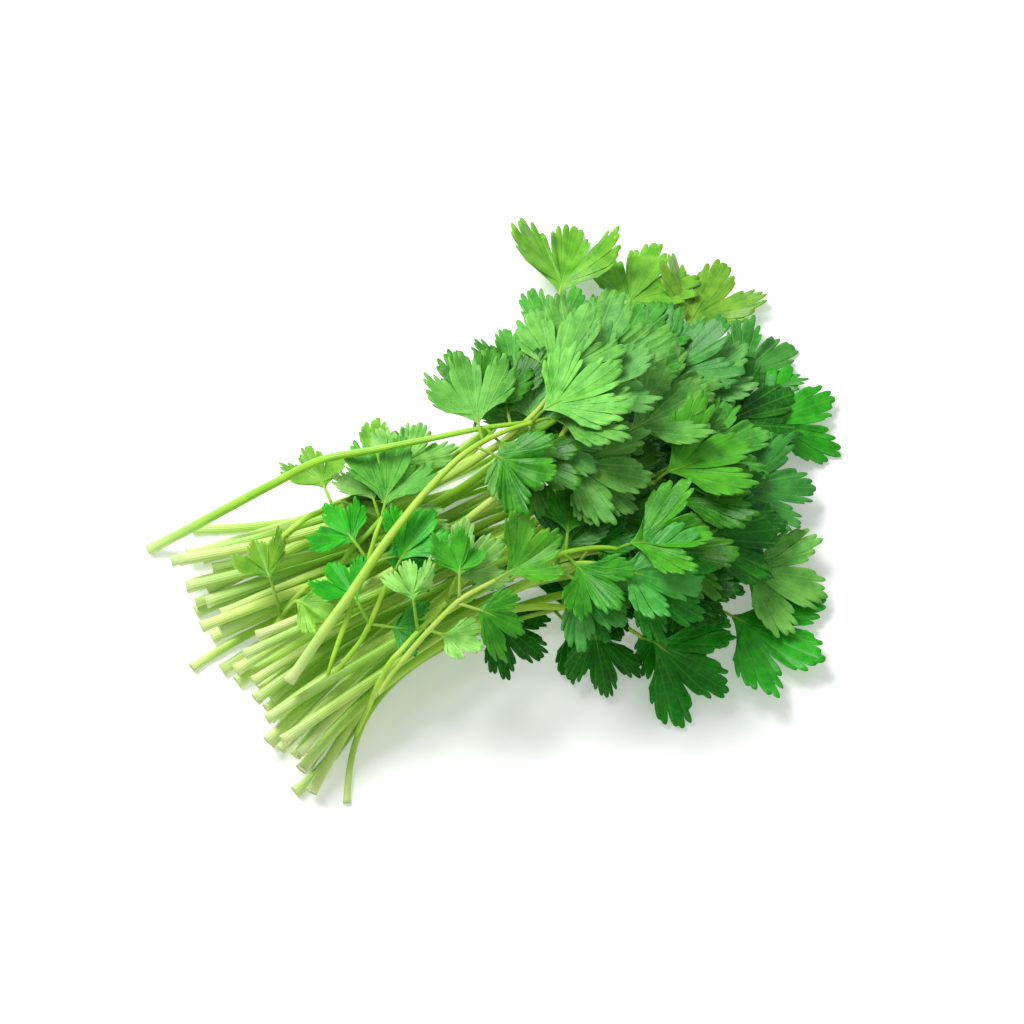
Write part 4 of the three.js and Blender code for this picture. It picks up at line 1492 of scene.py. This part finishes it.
@dataclass(frozen=True)
class TableFinish:
    """The pale table, which glows a little: painted light that keeps the bunch's shadow on it faint."""

    name: str
    colour: Colour
    roughness: float
    shadow_fill_glow: float

    GRAIN_SCALE = 40
    GRAIN_SHARE = 0.05
    GRAIN_COLOUR = (0.8, 0.81, 0.82)
    ROUGHNESS_SPREAD = 0.1
    RELIEF = 0.00005
    SPECULAR = 0.2

    def build(self) -> bpy.types.Material:
        """Makes the material."""
        graph = Graph(self.name)
        grain = graph.noise(self.GRAIN_SCALE, 3)
        colour = graph.mix(grain * self.GRAIN_SHARE, self.colour, self.GRAIN_COLOUR)
        rough = grain * self.ROUGHNESS_SPREAD + self.roughness
        fixed = {
            "Specular IOR Level": self.SPECULAR,
            # Painted light: the table glows so that the shadow the bunch casts on it stays faint.
            "Emission Color": (1.0, 1.0, 1.0, 1.0),
            "Emission Strength": self.shadow_fill_glow,
        }
        return graph.finish(colour, rough, grain, self.RELIEF, fixed)


@dataclass(frozen=True)
class Studio:
    """The table, the lights and the camera at the photo's angle, in metres and degrees."""

    table_half: float = 3.0
    azimuth: float = -22.0
    elevation: float = 65.0
    lens: float = 135.0
    sensor: float = 36.0
    view_width: float = 0.43
    farthest: float = 20.0

    def _away(self, azimuth: float, elevation: float) -> Vector:
        """The direction from the bunch to a place round it. Azimuth 0 is towards -Y."""
        a, e = math.radians(azimuth), math.radians(elevation)
        return Vector((math.sin(a) * math.cos(e), -math.cos(a) * math.cos(e), math.sin(e)))

    def add_table(self) -> None:
        """Adds the table's top as a plain square, which isn't part of the bunch."""
        h = self.table_half
        mesh = bpy.data.meshes.new("table")
        mesh.from_pydata([(-h, -h, 0), (h, -h, 0), (h, h, 0), (-h, h, 0)], [], [(0, 1, 2, 3)])
        finish = TableFinish("pale_table", colour=(0.9, 0.905, 0.91), roughness=0.5, shadow_fill_glow=0.25)
        mesh.materials.append(finish.build())
        table = bpy.data.objects.new("table", mesh)
        bpy.context.scene.collection.objects.link(table)

    def add_camera(self) -> None:
        """Adds the camera, so far off that the view is as wide as the photo's."""
        data = bpy.data.cameras.new("camera")
        data.lens = self.lens
        data.sensor_width = self.sensor
        camera = bpy.data.objects.new("camera", data)
        away = self._away(self.azimuth, self.elevation)
        target = Vector(CENTRE_SHIFT * METRES)
        camera.location = target + away * (self.view_width * self.lens / self.sensor)
        camera.rotation_euler = (-away).to_track_quat("-Z", "Y").to_euler()
        data.clip_end = self.farthest
        bpy.context.scene.collection.objects.link(camera)
        bpy.context.scene.camera = camera

    def add_light(self, name: str, azimuth: float, elevation: float, far: float, size: float,
                  watts: float) -> None:
        """Adds a square soft light that faces the bunch.

        Args:
            name: Its name.
            azimuth: The side that it stands on.
            elevation: How high it stands.
            far: Its distance.
            size: The length of its side.
            watts: Its power.
        """
        data = bpy.data.lights.new(name, "AREA")
        data.energy = watts
        data.size = size
        light = bpy.data.objects.new(name, data)
        away = self._away(azimuth, elevation)
        light.location = away * far
        light.rotation_euler = (-away).to_track_quat("-Z", "Y").to_euler()
        bpy.context.scene.collection.objects.link(light)

    def add_sky(self, strength: float) -> None:
        """Adds an even white light from all round."""
        world = bpy.data.worlds.new("studio")
        world.use_nodes = True
        background = world.node_tree.nodes["Background"]
        background.inputs["Color"].default_value = (1.0, 1.0, 1.0, 1.0)
        background.inputs["Strength"].default_value = strength
        bpy.context.scene.world = world

    def build(self) -> None:
        """Adds everything."""
        self.add_table()
        self.add_camera()
        self.add_sky(strength=0.5)
        self.add_light("key", azimuth=-157, elevation=55, far=1.6, size=0.7, watts=24)
        bpy.context.scene.view_settings.view_transform = "Standard"


def main() -> None:
    """Loads the solids, dresses them and sets the studio up."""
    logging.basicConfig(level=logging.INFO, format="%(name)s: %(message)s")
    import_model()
    materials = [
        LeafFinish(
            "leaf_upper", vein=(0.17, 0.54, 0.07), vein_share=0.26, vein_height=-0.16,
            roughness=0.34, relief=0.0003,
        ).build(),
        LeafFinish(
            "leaf_under", vein=(0.32, 0.74, 0.17), vein_share=0.3, vein_height=0.4,
            roughness=0.5, relief=0.0003,
        ).build(),
        StalkFinish("stem_skin", pale=(0.78, 0.92, 0.42), roughness=0.34).build(),
        CutFinish("stem_cut", pith=(0.86, 0.93, 0.66), skin=(0.5, 0.76, 0.18), roughness=0.4).build(),
    ]
    bunch = Bunch()
    for laid in bunch.stems:
        piece = LeafyStem(laid, bunch, BladeShape(), StalkShape()).build(materials)
        triangles = len(piece.data.polygons)
        log.info("%s: %d leaflets, %d triangles", piece.name, len(laid.leaflets), triangles)
    Studio().build()
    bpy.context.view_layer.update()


if __name__ == "__main__":
    main()
